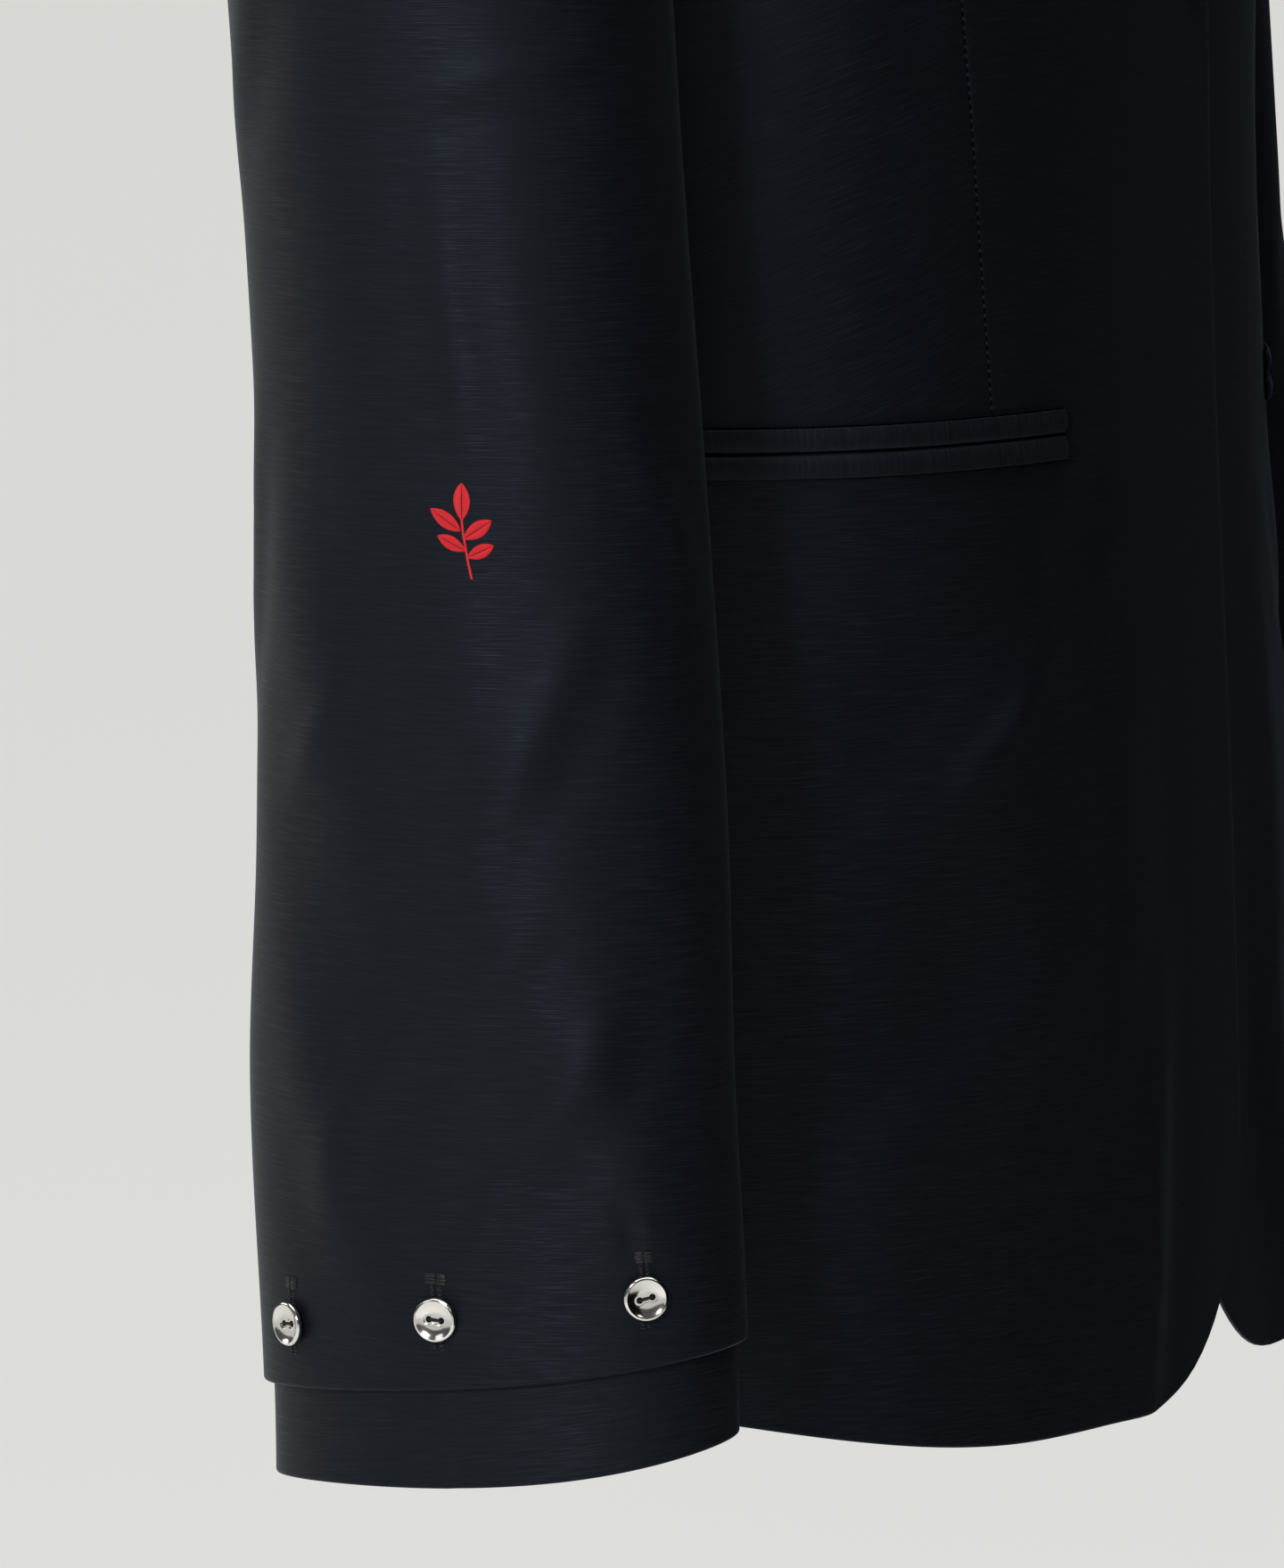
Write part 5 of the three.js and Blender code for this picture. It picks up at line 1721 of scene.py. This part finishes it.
@dataclass
class LeafSprig:
    """A small sprig of leaves in satin stitch, a generic design.

    Args:
        surface: The sleeve's cloth.
        side: The side it is on.
        level: The level of its middle.
        turn: Where its middle lies round the sleeve.
        pitch: Millimetres for each degree of turn.
    """

    surface: Surface
    side: Side
    level: float
    turn: float
    pitch: float
    stitch_width: float = 0.42

    # Where each leaf leaves the stem, its angle from upright, its length and its width.
    LEAVES = [
        ((0.0, 3.6), 4.0, 10.5, 5.2),
        ((-0.4, -1.6), 58.0, 10.0, 4.6),
        ((0.5, 0.6), -56.0, 10.6, 4.6),
        ((-1.2, -6.8), 66.0, 8.6, 4.0),
        ((-0.6, -4.9), -64.0, 9.0, 4.1),
    ]
    STEM = [(-2.0, -12.6), (-1.3, -8.5), (-0.7, -4.0), (-0.2, 0.0), (0.0, 4.2)]

    def point(self, across: float, up: float, lift: float) -> tuple[Array, Array]:
        """A point of the sleeve over a place in the design, and the way out there."""
        level, turn = np.array(self.level + up), np.array(self.turn - across / self.pitch)
        normal = normal_of(self.surface, level, turn, reverse=True)
        flip = np.array([self.side.value, 1, 1])
        return (self.surface(level, turn) + normal * lift) * flip, normal * flip

    def lay(self, thread: Stitches, start: tuple[float, float], end: tuple[float, float],
            lift: float) -> None:
        """Lays one stitch between two places in the design."""
        first, out = self.point(*start, lift)
        last, _ = self.point(*end, lift * 0.6)
        thread.add(first, last, out, self.stitch_width * 1.12, 0.42)

    def work(self, thread: Stitches) -> None:
        """Adds the stem's and the leaves' stitches to a piece of thread."""
        for (x0, y0), (x1, y1) in zip(self.STEM, self.STEM[1:]):
            count = int(math.hypot(x1 - x0, y1 - y0) / 0.5)
            for k in range(count):
                x, y = mix(x0, x1, k / count), mix(y0, y1, k / count)
                self.lay(thread, (x - 0.45, y - 0.3), (x + 0.45, y + 0.3), 0.2)
        for (x0, y0), angle, length, width in self.LEAVES:
            sine, cosine = math.sin(math.radians(angle)), math.cos(math.radians(angle))
            count = int(length / self.stitch_width)
            for k in range(count):
                share = (k + 0.5) / count
                half = width / 2 * math.sin(math.pi * share**0.75) ** 0.8
                foot = share * length
                for way in (-1, 1):
                    tip = foot + half * 0.55
                    start = (x0 - foot * sine, y0 + foot * cosine)
                    end = (x0 - tip * sine + way * half * cosine, y0 + tip * cosine + way * half * sine)
                    self.lay(thread, start, end, 0.3)


def link(tree: bpy.types.NodeTree, output: bpy.types.NodeSocket, target: bpy.types.NodeSocket) -> None:
    """Joins two sockets of a node tree."""
    tree.links.new(output, target)


def add_node(tree: bpy.types.NodeTree, kind: str, values: dict, **settings: object) -> bpy.types.Node:
    """Adds a node to a tree.

    Args:
        tree: The tree.
        kind: The node's type.
        values: Constant values, set on its inputs by name or number.
        settings: The node's own properties.

    Returns:
        The node.
    """
    node = tree.nodes.new(kind)
    for name, value in settings.items():
        setattr(node, name, value)
    for key, value in values.items():
        node.inputs[key].default_value = value
    return node


class SlubWeave:
    """The weave's effect, as a node group: uneven threads that make short level streaks."""

    NAME = "slub_weave"
    SHORT = (70.0, 3000.0, 1.0)
    LONG = (14.0, 2100.0, 1.0)
    FINE = (2600.0, 3400.0, 1.0)

    # The bands of noise that become streaks, the shares of the weaker threads and the bump's depth.
    SHORT_BAND = (0.52, 0.74)
    LONG_BAND = (0.5, 0.8)
    LONG_SHARE = 0.55
    FINE_SHARE = 0.35
    DEPTH = 0.00025

    @classmethod
    def group(cls) -> bpy.types.NodeTree:
        """Makes the group, whose outputs are a streak mask and a normal."""
        tree = bpy.data.node_groups.new(cls.NAME, "ShaderNodeTree")
        tree.interface.new_socket("Vector", in_out="INPUT", socket_type="NodeSocketVector")
        relief = tree.interface.new_socket("Relief", in_out="INPUT", socket_type="NodeSocketFloat")
        relief.default_value = 1.0
        tree.interface.new_socket("Streak", in_out="OUTPUT", socket_type="NodeSocketFloat")
        tree.interface.new_socket("Normal", in_out="OUTPUT", socket_type="NodeSocketVector")
        start, end = tree.nodes.new("NodeGroupInput"), tree.nodes.new("NodeGroupOutput")
        short = cls._noise(tree, start, cls.SHORT, 1.5)
        long = cls._noise(tree, start, cls.LONG, 1.0)
        fine = cls._noise(tree, start, cls.FINE, 0.0)
        short_mask = cls._range(tree, short, *cls.SHORT_BAND)
        long_mask = cls._range(tree, long, *cls.LONG_BAND)
        half = add_node(tree, "ShaderNodeMath", {1: cls.LONG_SHARE}, operation="MULTIPLY")
        link(tree, long_mask, half.inputs[0])
        both = add_node(tree, "ShaderNodeMath", {}, operation="MAXIMUM")
        link(tree, short_mask, both.inputs[0])
        link(tree, half.outputs[0], both.inputs[1])
        grain = add_node(tree, "ShaderNodeMath", {1: cls.FINE_SHARE, 2: 0.0}, operation="MULTIPLY_ADD")
        link(tree, fine, grain.inputs[0])
        link(tree, both.outputs[0], grain.inputs[2])
        bump = add_node(tree, "ShaderNodeBump", {"Distance": cls.DEPTH})
        link(tree, grain.outputs[0], bump.inputs["Height"])
        link(tree, start.outputs["Relief"], bump.inputs["Strength"])
        link(tree, both.outputs[0], end.inputs["Streak"])
        link(tree, bump.outputs["Normal"], end.inputs["Normal"])
        return tree

    @staticmethod
    def _noise(tree: bpy.types.NodeTree, start: bpy.types.Node, scale: tuple,
               detail: float) -> bpy.types.NodeSocket:
        """Noise stretched along the weft."""
        stretch = add_node(tree, "ShaderNodeVectorMath", {1: scale}, operation="MULTIPLY")
        link(tree, start.outputs["Vector"], stretch.inputs[0])
        noise = add_node(tree, "ShaderNodeTexNoise", {"Scale": 1.0, "Detail": detail})
        link(tree, stretch.outputs[0], noise.inputs["Vector"])
        return noise.outputs["Fac"]

    @staticmethod
    def _range(tree: bpy.types.NodeTree, value: bpy.types.NodeSocket, low: float,
               high: float) -> bpy.types.NodeSocket:
        """Brings a band of values to run from 0 to 1."""
        band = add_node(tree, "ShaderNodeMapRange", {"From Min": low, "From Max": high})
        link(tree, value, band.inputs["Value"])
        return band.outputs["Result"]


@dataclass(frozen=True)
class ClothFinish:
    """A dark slub cloth.

    Args:
        name: The material's name.
        base: Its colour.
        streak: The colour of its lighter threads.
        grain: How far its weft is turned from level, in degrees.
        roughness: How dull it is between the streaks.
    """

    name: str
    base: tuple[float, float, float]
    streak: tuple[float, float, float]
    grain: float = 0.0
    roughness: float = 0.5
    streak_roughness: float = 0.42
    specular: float = 0.17
    sheen: float = 0.03
    sheen_roughness: float = 0.4
    gloss: tuple[float, float, float] = (0.66, 0.8, 1.0)
    relief: float = 0.3

    def material(self, weave: bpy.types.NodeTree) -> bpy.types.Material:
        """Makes the material, laid on the piece's own flat cut."""
        made = bpy.data.materials.new(self.name)
        made.use_nodes = True
        tree = made.node_tree
        shader = tree.nodes["Principled BSDF"]
        cut = add_node(tree, "ShaderNodeUVMap", {}, uv_map="cut")
        angle = {"Angle": math.radians(self.grain)}
        turned = add_node(tree, "ShaderNodeVectorRotate", angle, rotation_type="Z_AXIS")
        link(tree, cut.outputs["UV"], turned.inputs["Vector"])
        effect = add_node(tree, "ShaderNodeGroup", {}, node_tree=weave)
        effect.inputs["Relief"].default_value = self.relief
        link(tree, turned.outputs["Vector"], effect.inputs["Vector"])
        ends = {6: (*self.base, 1), 7: (*self.streak, 1)}
        colour = add_node(tree, "ShaderNodeMix", ends, data_type="RGBA")
        link(tree, effect.outputs["Streak"], colour.inputs["Factor"])
        band = {"To Min": self.roughness, "To Max": self.streak_roughness}
        dull = add_node(tree, "ShaderNodeMapRange", band)
        link(tree, effect.outputs["Streak"], dull.inputs["Value"])
        link(tree, colour.outputs[2], shader.inputs["Base Color"])
        link(tree, dull.outputs["Result"], shader.inputs["Roughness"])
        link(tree, effect.outputs["Normal"], shader.inputs["Normal"])
        shader.inputs["Specular IOR Level"].default_value = self.specular
        shader.inputs["Specular Tint"].default_value = (*self.gloss, 1)
        shader.inputs["Sheen Weight"].default_value = self.sheen
        shader.inputs["Sheen Roughness"].default_value = self.sheen_roughness
        shader.inputs["Sheen Tint"].default_value = (*self.gloss, 1)
        return made


@dataclass(frozen=True)
class PlainFinish:
    """A finish of one colour, for metal, thread, painted shade, the dark screens and the floor."""

    name: str
    colour: tuple[float, float, float]
    roughness: float
    metallic: float = 0.0
    specular: float = 0.5
    sheen: float = 0.0

    def material(self) -> bpy.types.Material:
        """Makes the material."""
        made = bpy.data.materials.new(self.name)
        made.use_nodes = True
        shader = made.node_tree.nodes["Principled BSDF"]
        shader.inputs["Base Color"].default_value = (*self.colour, 1)
        shader.inputs["Roughness"].default_value = self.roughness
        shader.inputs["Metallic"].default_value = self.metallic
        shader.inputs["Specular IOR Level"].default_value = self.specular
        shader.inputs["Sheen Weight"].default_value = self.sheen
        return made


SUIT_BASE, SUIT_STREAK = (0.0026, 0.0034, 0.0053), (0.0066, 0.0080, 0.0112)
# The welts are the suiting cloth with its grain upright; their lighter base and streak colours are painted
# sheen for the light their rounded strips catch.
WELT_SHEEN_BASE, WELT_SHEEN_STREAK = (0.0034, 0.0043, 0.0062), (0.0105, 0.0122, 0.0160)
SUIT_CLOTH = ClothFinish("suiting_cloth", SUIT_BASE, SUIT_STREAK)
TURNED_CLOTH = ClothFinish("suiting_turned_grain", SUIT_BASE, SUIT_STREAK, grain=18.0)
WELT_SHEEN_FINISH = ClothFinish("welt_cloth_upright", WELT_SHEEN_BASE, WELT_SHEEN_STREAK, grain=90.0)
BUTTON_FINISH = PlainFinish("button_metal_silver", (0.7, 0.68, 0.64), 0.13, metallic=1.0)
THREAD_FINISH = PlainFinish("thread_black", (0.006, 0.0065, 0.008), 0.55, specular=0.3)
# Near-black and far darker than the cloth: painted shade in the seams, along the dart and round the
# pocket's welts.
SHADE_FINISH = PlainFinish("seam_painted_shade", (0.0006, 0.0007, 0.0009), 0.9, specular=0.04)
TACK_FINISH = PlainFinish("thread_charcoal", (0.012, 0.0125, 0.0145), 0.4, specular=0.42, sheen=0.05)
SPRIG_FINISH = PlainFinish("thread_red", (0.62, 0.008, 0.016), 0.45, specular=0.35, sheen=0.1)
SCREEN_FINISH = PlainFinish("screen_dark", (0.004, 0.004, 0.004), 0.9, specular=0.0)
FLOOR_FINISH = PlainFinish("floor_pale", (0.8, 0.8, 0.78), 0.9, specular=0.1)


@dataclass
class Studio:
    """The pale floor, the soft lights and the camera of the photograph."""

    floor_level: float = -1.53
    floor_radius: float = 60.0
    camera_place: tuple[float, float, float] = (-3.0733, -1.2025, -0.104)
    camera_target: tuple[float, float, float] = (-0.276, -0.0723, -0.521)
    field_of_view: float = 8.2583
    sensor: float = 24.0
    world_strength: float = 0.09
    world_colour: tuple[float, float, float] = (1.0, 0.995, 0.985)
    floor_sun: float = 2.48

    # Place, target, size and power of each soft light.
    LIGHTS = [
        ("key", (-2.7, 1.7, 0.6), (-0.25, -0.08, -0.45), 1.1, 4.0),
        ("edge", (-0.4, 2.6, 0.3), (-0.28, 0.0, -0.4), 1.2, 11.0),
        ("face", (-3.25, -0.18, 0.6), (-0.2, -0.12, -0.5), 0.7, 48.0),
        ("front", (-0.95, -1.42, 0.4), (-0.2, -0.12, -0.5), 0.5, 2.2),
    ]

    # Place, heading in degrees, width and height of each dark screen outside the picture.
    SCREENS = [
        ("screen_far", (1.0, -0.75, -0.3), 60.0, 2.2, 2.4),
        ("screen_near", (-0.5, -1.75, -0.3), -8.0, 2.2, 2.4),
    ]

    def build(self) -> None:
        """Builds the floor, the world, the lights and the camera."""
        bpy.ops.object.select_all(action="DESELECT")
        place = (0, 0, self.floor_level)
        size = {"radius": self.floor_radius, "depth": 0.02}
        bpy.ops.mesh.primitive_cylinder_add(vertices=128, location=place, **size)
        floor = bpy.context.active_object
        floor.name = "floor"
        bpy.ops.object.transform_apply(location=True, rotation=False, scale=False)
        floor.data.materials.append(FLOOR_FINISH.material())
        world = bpy.data.worlds.new("studio")
        bpy.context.scene.world = world
        world.use_nodes = True
        light = world.node_tree.nodes["Background"]
        light.inputs["Color"].default_value = (*self.world_colour, 1)
        light.inputs["Strength"].default_value = self.world_strength
        lamps = [self._lamp(*row) for row in self.LIGHTS] + [self._sun()]
        data = bpy.data.cameras.new("photo_camera")
        camera = bpy.data.objects.new("photo_camera", data)
        bpy.context.collection.objects.link(camera)
        data.sensor_fit = "VERTICAL"
        data.sensor_height = self.sensor
        data.lens = self.sensor / 2 / math.tan(math.radians(self.field_of_view / 2))
        data.clip_end = 200
        self._aim(camera, self.camera_place, self.camera_target)
        bpy.context.scene.camera = camera
        bpy.context.scene.view_settings.view_transform = "Standard"
        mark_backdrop(floor, camera, *lamps, *[self._screen(*row) for row in self.SCREENS])

    def _lamp(self, name: str, place: tuple, target: tuple, size: float,
              power: float) -> bpy.types.Object:
        """Adds one soft area light."""
        data = bpy.data.lights.new(name, "AREA")
        data.shape = "DISK"
        data.size = size
        data.energy = power
        lamp = bpy.data.objects.new(name, data)
        bpy.context.collection.objects.link(lamp)
        self._aim(lamp, place, target)
        return lamp

    @staticmethod
    def _screen(name: str, place: tuple, heading: float, width: float, height: float) -> bpy.types.Object:
        """Adds a dark screen that keeps light off the front."""
        bpy.ops.object.select_all(action="DESELECT")
        bpy.ops.mesh.primitive_cube_add(size=1.0, location=place)
        screen = bpy.context.active_object
        screen.name = name
        screen.scale = (width, 0.02, height)
        screen.rotation_euler = (0, 0, math.radians(heading))
        bpy.ops.object.transform_apply(location=True, rotation=True, scale=True)
        screen.data.materials.append(SCREEN_FINISH.material())
        screen.visible_camera = False
        return screen

    def _sun(self) -> bpy.types.Object:
        """Adds an even light from straight above, which carries the floor's brightness."""
        data = bpy.data.lights.new("floor_light", "SUN")
        data.energy = self.floor_sun
        data.angle = math.radians(60)
        lamp = bpy.data.objects.new("floor_light", data)
        bpy.context.collection.objects.link(lamp)
        return lamp

    @staticmethod
    def _aim(thing: bpy.types.Object, place: tuple, target: tuple) -> None:
        """Puts a light or camera at a place, looking at a target."""
        thing.location = place
        way = Vector(target) - Vector(place)
        thing.rotation_euler = way.to_track_quat("-Z", "Y").to_euler()


# Body creases by level and distance from the centre; sleeve creases by level and turn.
BODY_CREASES: dict[Optional[Side], tuple[Crease, ...]] = {
    Side.RIGHT: (
        Crease((-508, 111), (-543, 137), 5.0, 1.5, sharp=1.3),
        Crease((-490, 100), (-562, 156), 15, 2.0),
        Crease((-590, 106), (-662, 166), 15, 2.3),
        Crease((-600, 45), (-742, 68), 10, 2.6),
        Crease((-640, 92), (-725, 112), 15, -1.4),
        Crease((-452, 60), (-500, 84), 10, 0.9),
        Crease((-330, 150), (-300, 176), 9, 1.2),
        Crease((-300, 96), (-352, 112), 12, 0.9),
        Crease((-200, 150), (-262, 120), 11, 1.2),
        Crease((-140, 60), (-220, 40), 12, -0.8, back=True),
        Crease((-190, 165), (-260, 130), 11, 1.5, back=True),
        Crease((-470, 40), (-640, 62), 16, 1.6, back=True),
        Crease((-500, 150), (-610, 120), 13, 1.5, back=True),
        Crease((-350, 60), (-420, 105), 12, 1.0, back=True),
    ),
    Side.LEFT: (
        Crease((-520, 104), (-566, 128), 6.5, 1.5, sharp=1.2),
        Crease((-470, 112), (-548, 146), 18, 1.5),
        Crease((-590, 160), (-655, 126), 15, 1.6),
        Crease((-622, 54), (-742, 78), 11, 2.2),
        Crease((-470, 72), (-520, 90), 10, 0.9),
        Crease((-338, 148), (-310, 172), 9, 1.1),
        Crease((-210, 146), (-268, 122), 11, 1.2),
        Crease((-200, 160), (-275, 136), 12, 1.4, back=True),
        Crease((-455, 46), (-650, 52), 15, 1.5, back=True),
        Crease((-520, 142), (-640, 128), 14, 1.4, back=True),
        Crease((-330, 70), (-410, 96), 13, 1.0, back=True),
    ),
    None: (),
}
SLEEVE_CREASES: dict[Optional[Side], tuple[Crease, ...]] = {
    Side.RIGHT: (
        Crease((-316, 56), (-329, 8), 5.5, 1.2),
        Crease((-352, 13), (-430, 15), 6.5, 0.9),
        Crease((-474, 40), (-541, 12), 8, 1.5),
        Crease((-488, -18), (-524, -41), 7, 1.3),
        Crease((-556, 22), (-592, 8), 6.5, 1.1),
        Crease((-582, 46), (-630, 18), 9, 2.3),
        Crease((-592, -10), (-646, -31), 8, 1.7),
        Crease((-636, 15), (-664, 5), 5, 0.9),
        Crease((-640, 45), (-653, 46.5), 2.6, -1.5),
        Crease((-420, 60), (-470, 84), 9, 1.3),
        Crease((-280, -40), (-350, -66), 10, 1.3),
        Crease((-420, -60), (-500, -84), 10, 1.4),
        Crease((-360, 120), (-400, 168), 9, 1.6),
        Crease((-430, 170), (-480, 214), 10, 1.8),
        Crease((-520, 140), (-560, 190), 9, 1.5),
        Crease((-600, 210), (-650, 176), 8, 1.3),
    ),
    Side.LEFT: (
        Crease((-322, 50), (-336, 4), 6, 1.2),
        Crease((-360, 6), (-440, 11), 7, 0.9),
        Crease((-486, 44), (-548, 16), 8.5, 1.4),
        Crease((-500, -14), (-536, -38), 7, 1.3),
        Crease((-576, 38), (-624, 12), 9, 2.0),
        Crease((-604, -14), (-652, -34), 8, 1.5),
        Crease((-410, 64), (-466, 88), 9, 1.3),
        Crease((-290, -44), (-356, -70), 10, 1.2),
        Crease((-352, 124), (-396, 172), 9, 1.6),
        Crease((-440, 166), (-486, 210), 10, 1.7),
        Crease((-530, 146), (-566, 194), 9, 1.4),
    ),
    None: (),
}


@dataclass
class Blazer:
    """The whole garment: its cloth, its buttons and its thread."""

    body: BodyForm = field(default_factory=BodyForm)
    button_turns: tuple[float, ...] = (-46, -2, 49, 131, 179, 228)
    button_spins: tuple[float, ...] = (6, -4, 14, 2, -12, 8)
    button_above_hem: float = 18.0
    cuff_radius: float = 6.35
    front_radius: float = 7.0
    front_level: float = -305.0
    front_x: float = 6.0
    sprig_level: float = -449.0
    sprig_turn: float = 12.0
    panels: list[Panel] = field(default_factory=list)
    buttons: list[Button] = field(default_factory=list)
    thread: list[bpy.types.Object] = field(default_factory=list)
    tacks: list[bpy.types.Object] = field(default_factory=list)
    seams: list[bpy.types.Object] = field(default_factory=list)
    sprig: Optional[bpy.types.Object] = None

    def build(self) -> None:
        """Builds every piece of both sides, then the collar and the front button."""
        tube = SleeveForm(self.body)
        for side in Side:
            self.panels += [
                Front(side, self.body),
                SideFront(side, self.body),
                SidePanel(side, self.body),
                Back(side, self.body),
                Lapel(side, self.body),
                UpperSleeve(side, self.body, tube=tube),
                UnderSleeve(side, self.body, tube=tube),
                InnerCuff(side, self.body, tube=tube),
                PocketWelt(side, self.body, above=True),
                PocketWelt(side, self.body, above=False),
            ]
        self.panels.append(Collar(None, self.body))
        for panel in self.panels:
            panel.build()
            LOG.info("%s: %d faces", panel.node, len(panel.piece.data.polygons))
        for side in Side:
            self._build_cuff_trims(tube, side)
            self._build_seam_threads(side)
        self._build_front_button()
        self._build_sprig(tube)

    def _build_cuff_trims(self, tube: SleeveForm, side: Side) -> None:
        """Builds the buttons, their thread and the worked buttonholes of one cuff."""
        creased = tube.tube(0.0, SLEEVE_CREASES[side])
        thread, tacks = Stitches(f"cuff_thread_{side.label}"), Stitches(f"buttonholes_{side.label}")
        flip = np.array([side.value, 1, 1])
        for k, turn in enumerate(self.button_turns):
            level = tube.edge_level(tube.HEM, np.array(float(turn))) + self.button_above_hem
            normal = normal_of(creased, level, np.array(float(turn)), reverse=True)
            place = (creased(level, np.array(float(turn))) + normal * (tube.SEAM_GAP + 0.25)) * flip
            button = Button(f"cuff_button_{side.label}_{k + 1}", self.cuff_radius, self.button_spins[k])
            button.build(place, normal * flip)
            button.sew(thread, place, normal * flip)
            Buttonhole(creased, float(level) + 1.2, float(turn), side, tube.PITCH).work(tacks)
            self.buttons.append(button)
        self.thread.append(thread.build())
        self.tacks.append(tacks.build())

    def _build_seam_threads(self, side: Side) -> None:
        """Builds the thread in the seams, the dart's stitches and those round a pocket's welts, all
        near-black as painted shade.
        """
        row = Stitches(f"seam_stitches_{side.label}")
        DartSeam(side, self.body).work(row)
        for panel in self.panels:
            if panel.side is side:
                panel.sew(row)
        PocketWelt(side, self.body).outline(row)
        self.seams.append(row.build())

    def _build_front_button(self) -> None:
        """Builds the button of the front closure, with its thread."""
        level = np.array(self.front_level)
        turn = self.body.turn_at_x(level, self.front_x)
        surface = self.body.surface(False)
        normal = normal_of(surface, level, turn)
        place = surface(level, turn) + normal * (SleeveForm.SEAM_GAP + 0.25)
        button = Button("front_button", self.front_radius, 0.0)
        button.build(place, normal)
        thread = Stitches("front_thread")
        button.sew(thread, place, normal)
        self.buttons.append(button)
        self.thread.append(thread.build())

    def _build_sprig(self, tube: SleeveForm) -> None:
        """Builds the sprig on the right sleeve."""
        creased = tube.tube(0.0, SLEEVE_CREASES[Side.RIGHT])
        thread = Stitches("leaf_sprig")
        LeafSprig(creased, Side.RIGHT, self.sprig_level, self.sprig_turn, tube.PITCH).work(thread)
        self.sprig = thread.build()

    def dress(self) -> None:
        """Gives every piece its finish."""
        weave = SlubWeave.group()
        suit, turned, welt = (f.material(weave) for f in (SUIT_CLOTH, TURNED_CLOTH, WELT_SHEEN_FINISH))
        for panel in self.panels:
            own = turned if isinstance(panel, SideFront) else suit
            # The welts get the upright-grained cloth whose lighter colours are painted sheen.
            panel.dress(welt if isinstance(panel, PocketWelt) else own)
        finishes = (BUTTON_FINISH, THREAD_FINISH, TACK_FINISH, SHADE_FINISH, SPRIG_FINISH)
        metal, black, charcoal, shade, red = (finish.material() for finish in finishes)
        for button in self.buttons:
            button.piece.data.materials.append(metal)
        # The seam, dart and welt stitches take the near-black painted shade.
        threads = ((self.seams, shade), (self.tacks, charcoal), (self.thread, black), ([self.sprig], red))
        for pieces, finish in threads:
            for piece in pieces:
                piece.data.materials.append(finish)

    def declare(self) -> None:
        """Attaches each piece to the body, hides the solids that the panels and buttons replace and logs
        their sizes.
        """
        for panel in self.panels:
            panel.declare()
        for button in self.buttons:
            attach(button.piece, BODY)
            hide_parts(button.name)
            LOG.info("%s: %.1f mm across", button.name, 2 * button.radius)
        for piece in self.thread + self.tacks + self.seams + [self.sprig]:
            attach(piece, BODY)
            LOG.info("%s: %d faces", piece.name, len(piece.data.polygons))


def corners() -> list[list[float]]:
    """The shown object's lowest and highest corners, as plain numbers."""
    return [[float(value) for value in corner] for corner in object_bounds()]


def main() -> None:
    """Loads the solids, builds the garment over them and sets the studio."""
    logging.basicConfig(level=logging.INFO, format="%(name)s: %(message)s")
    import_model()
    blazer = Blazer()
    blazer.build()
    blazer.dress()
    blazer.declare()
    Studio().build()


if __name__ == "__main__":
    main()
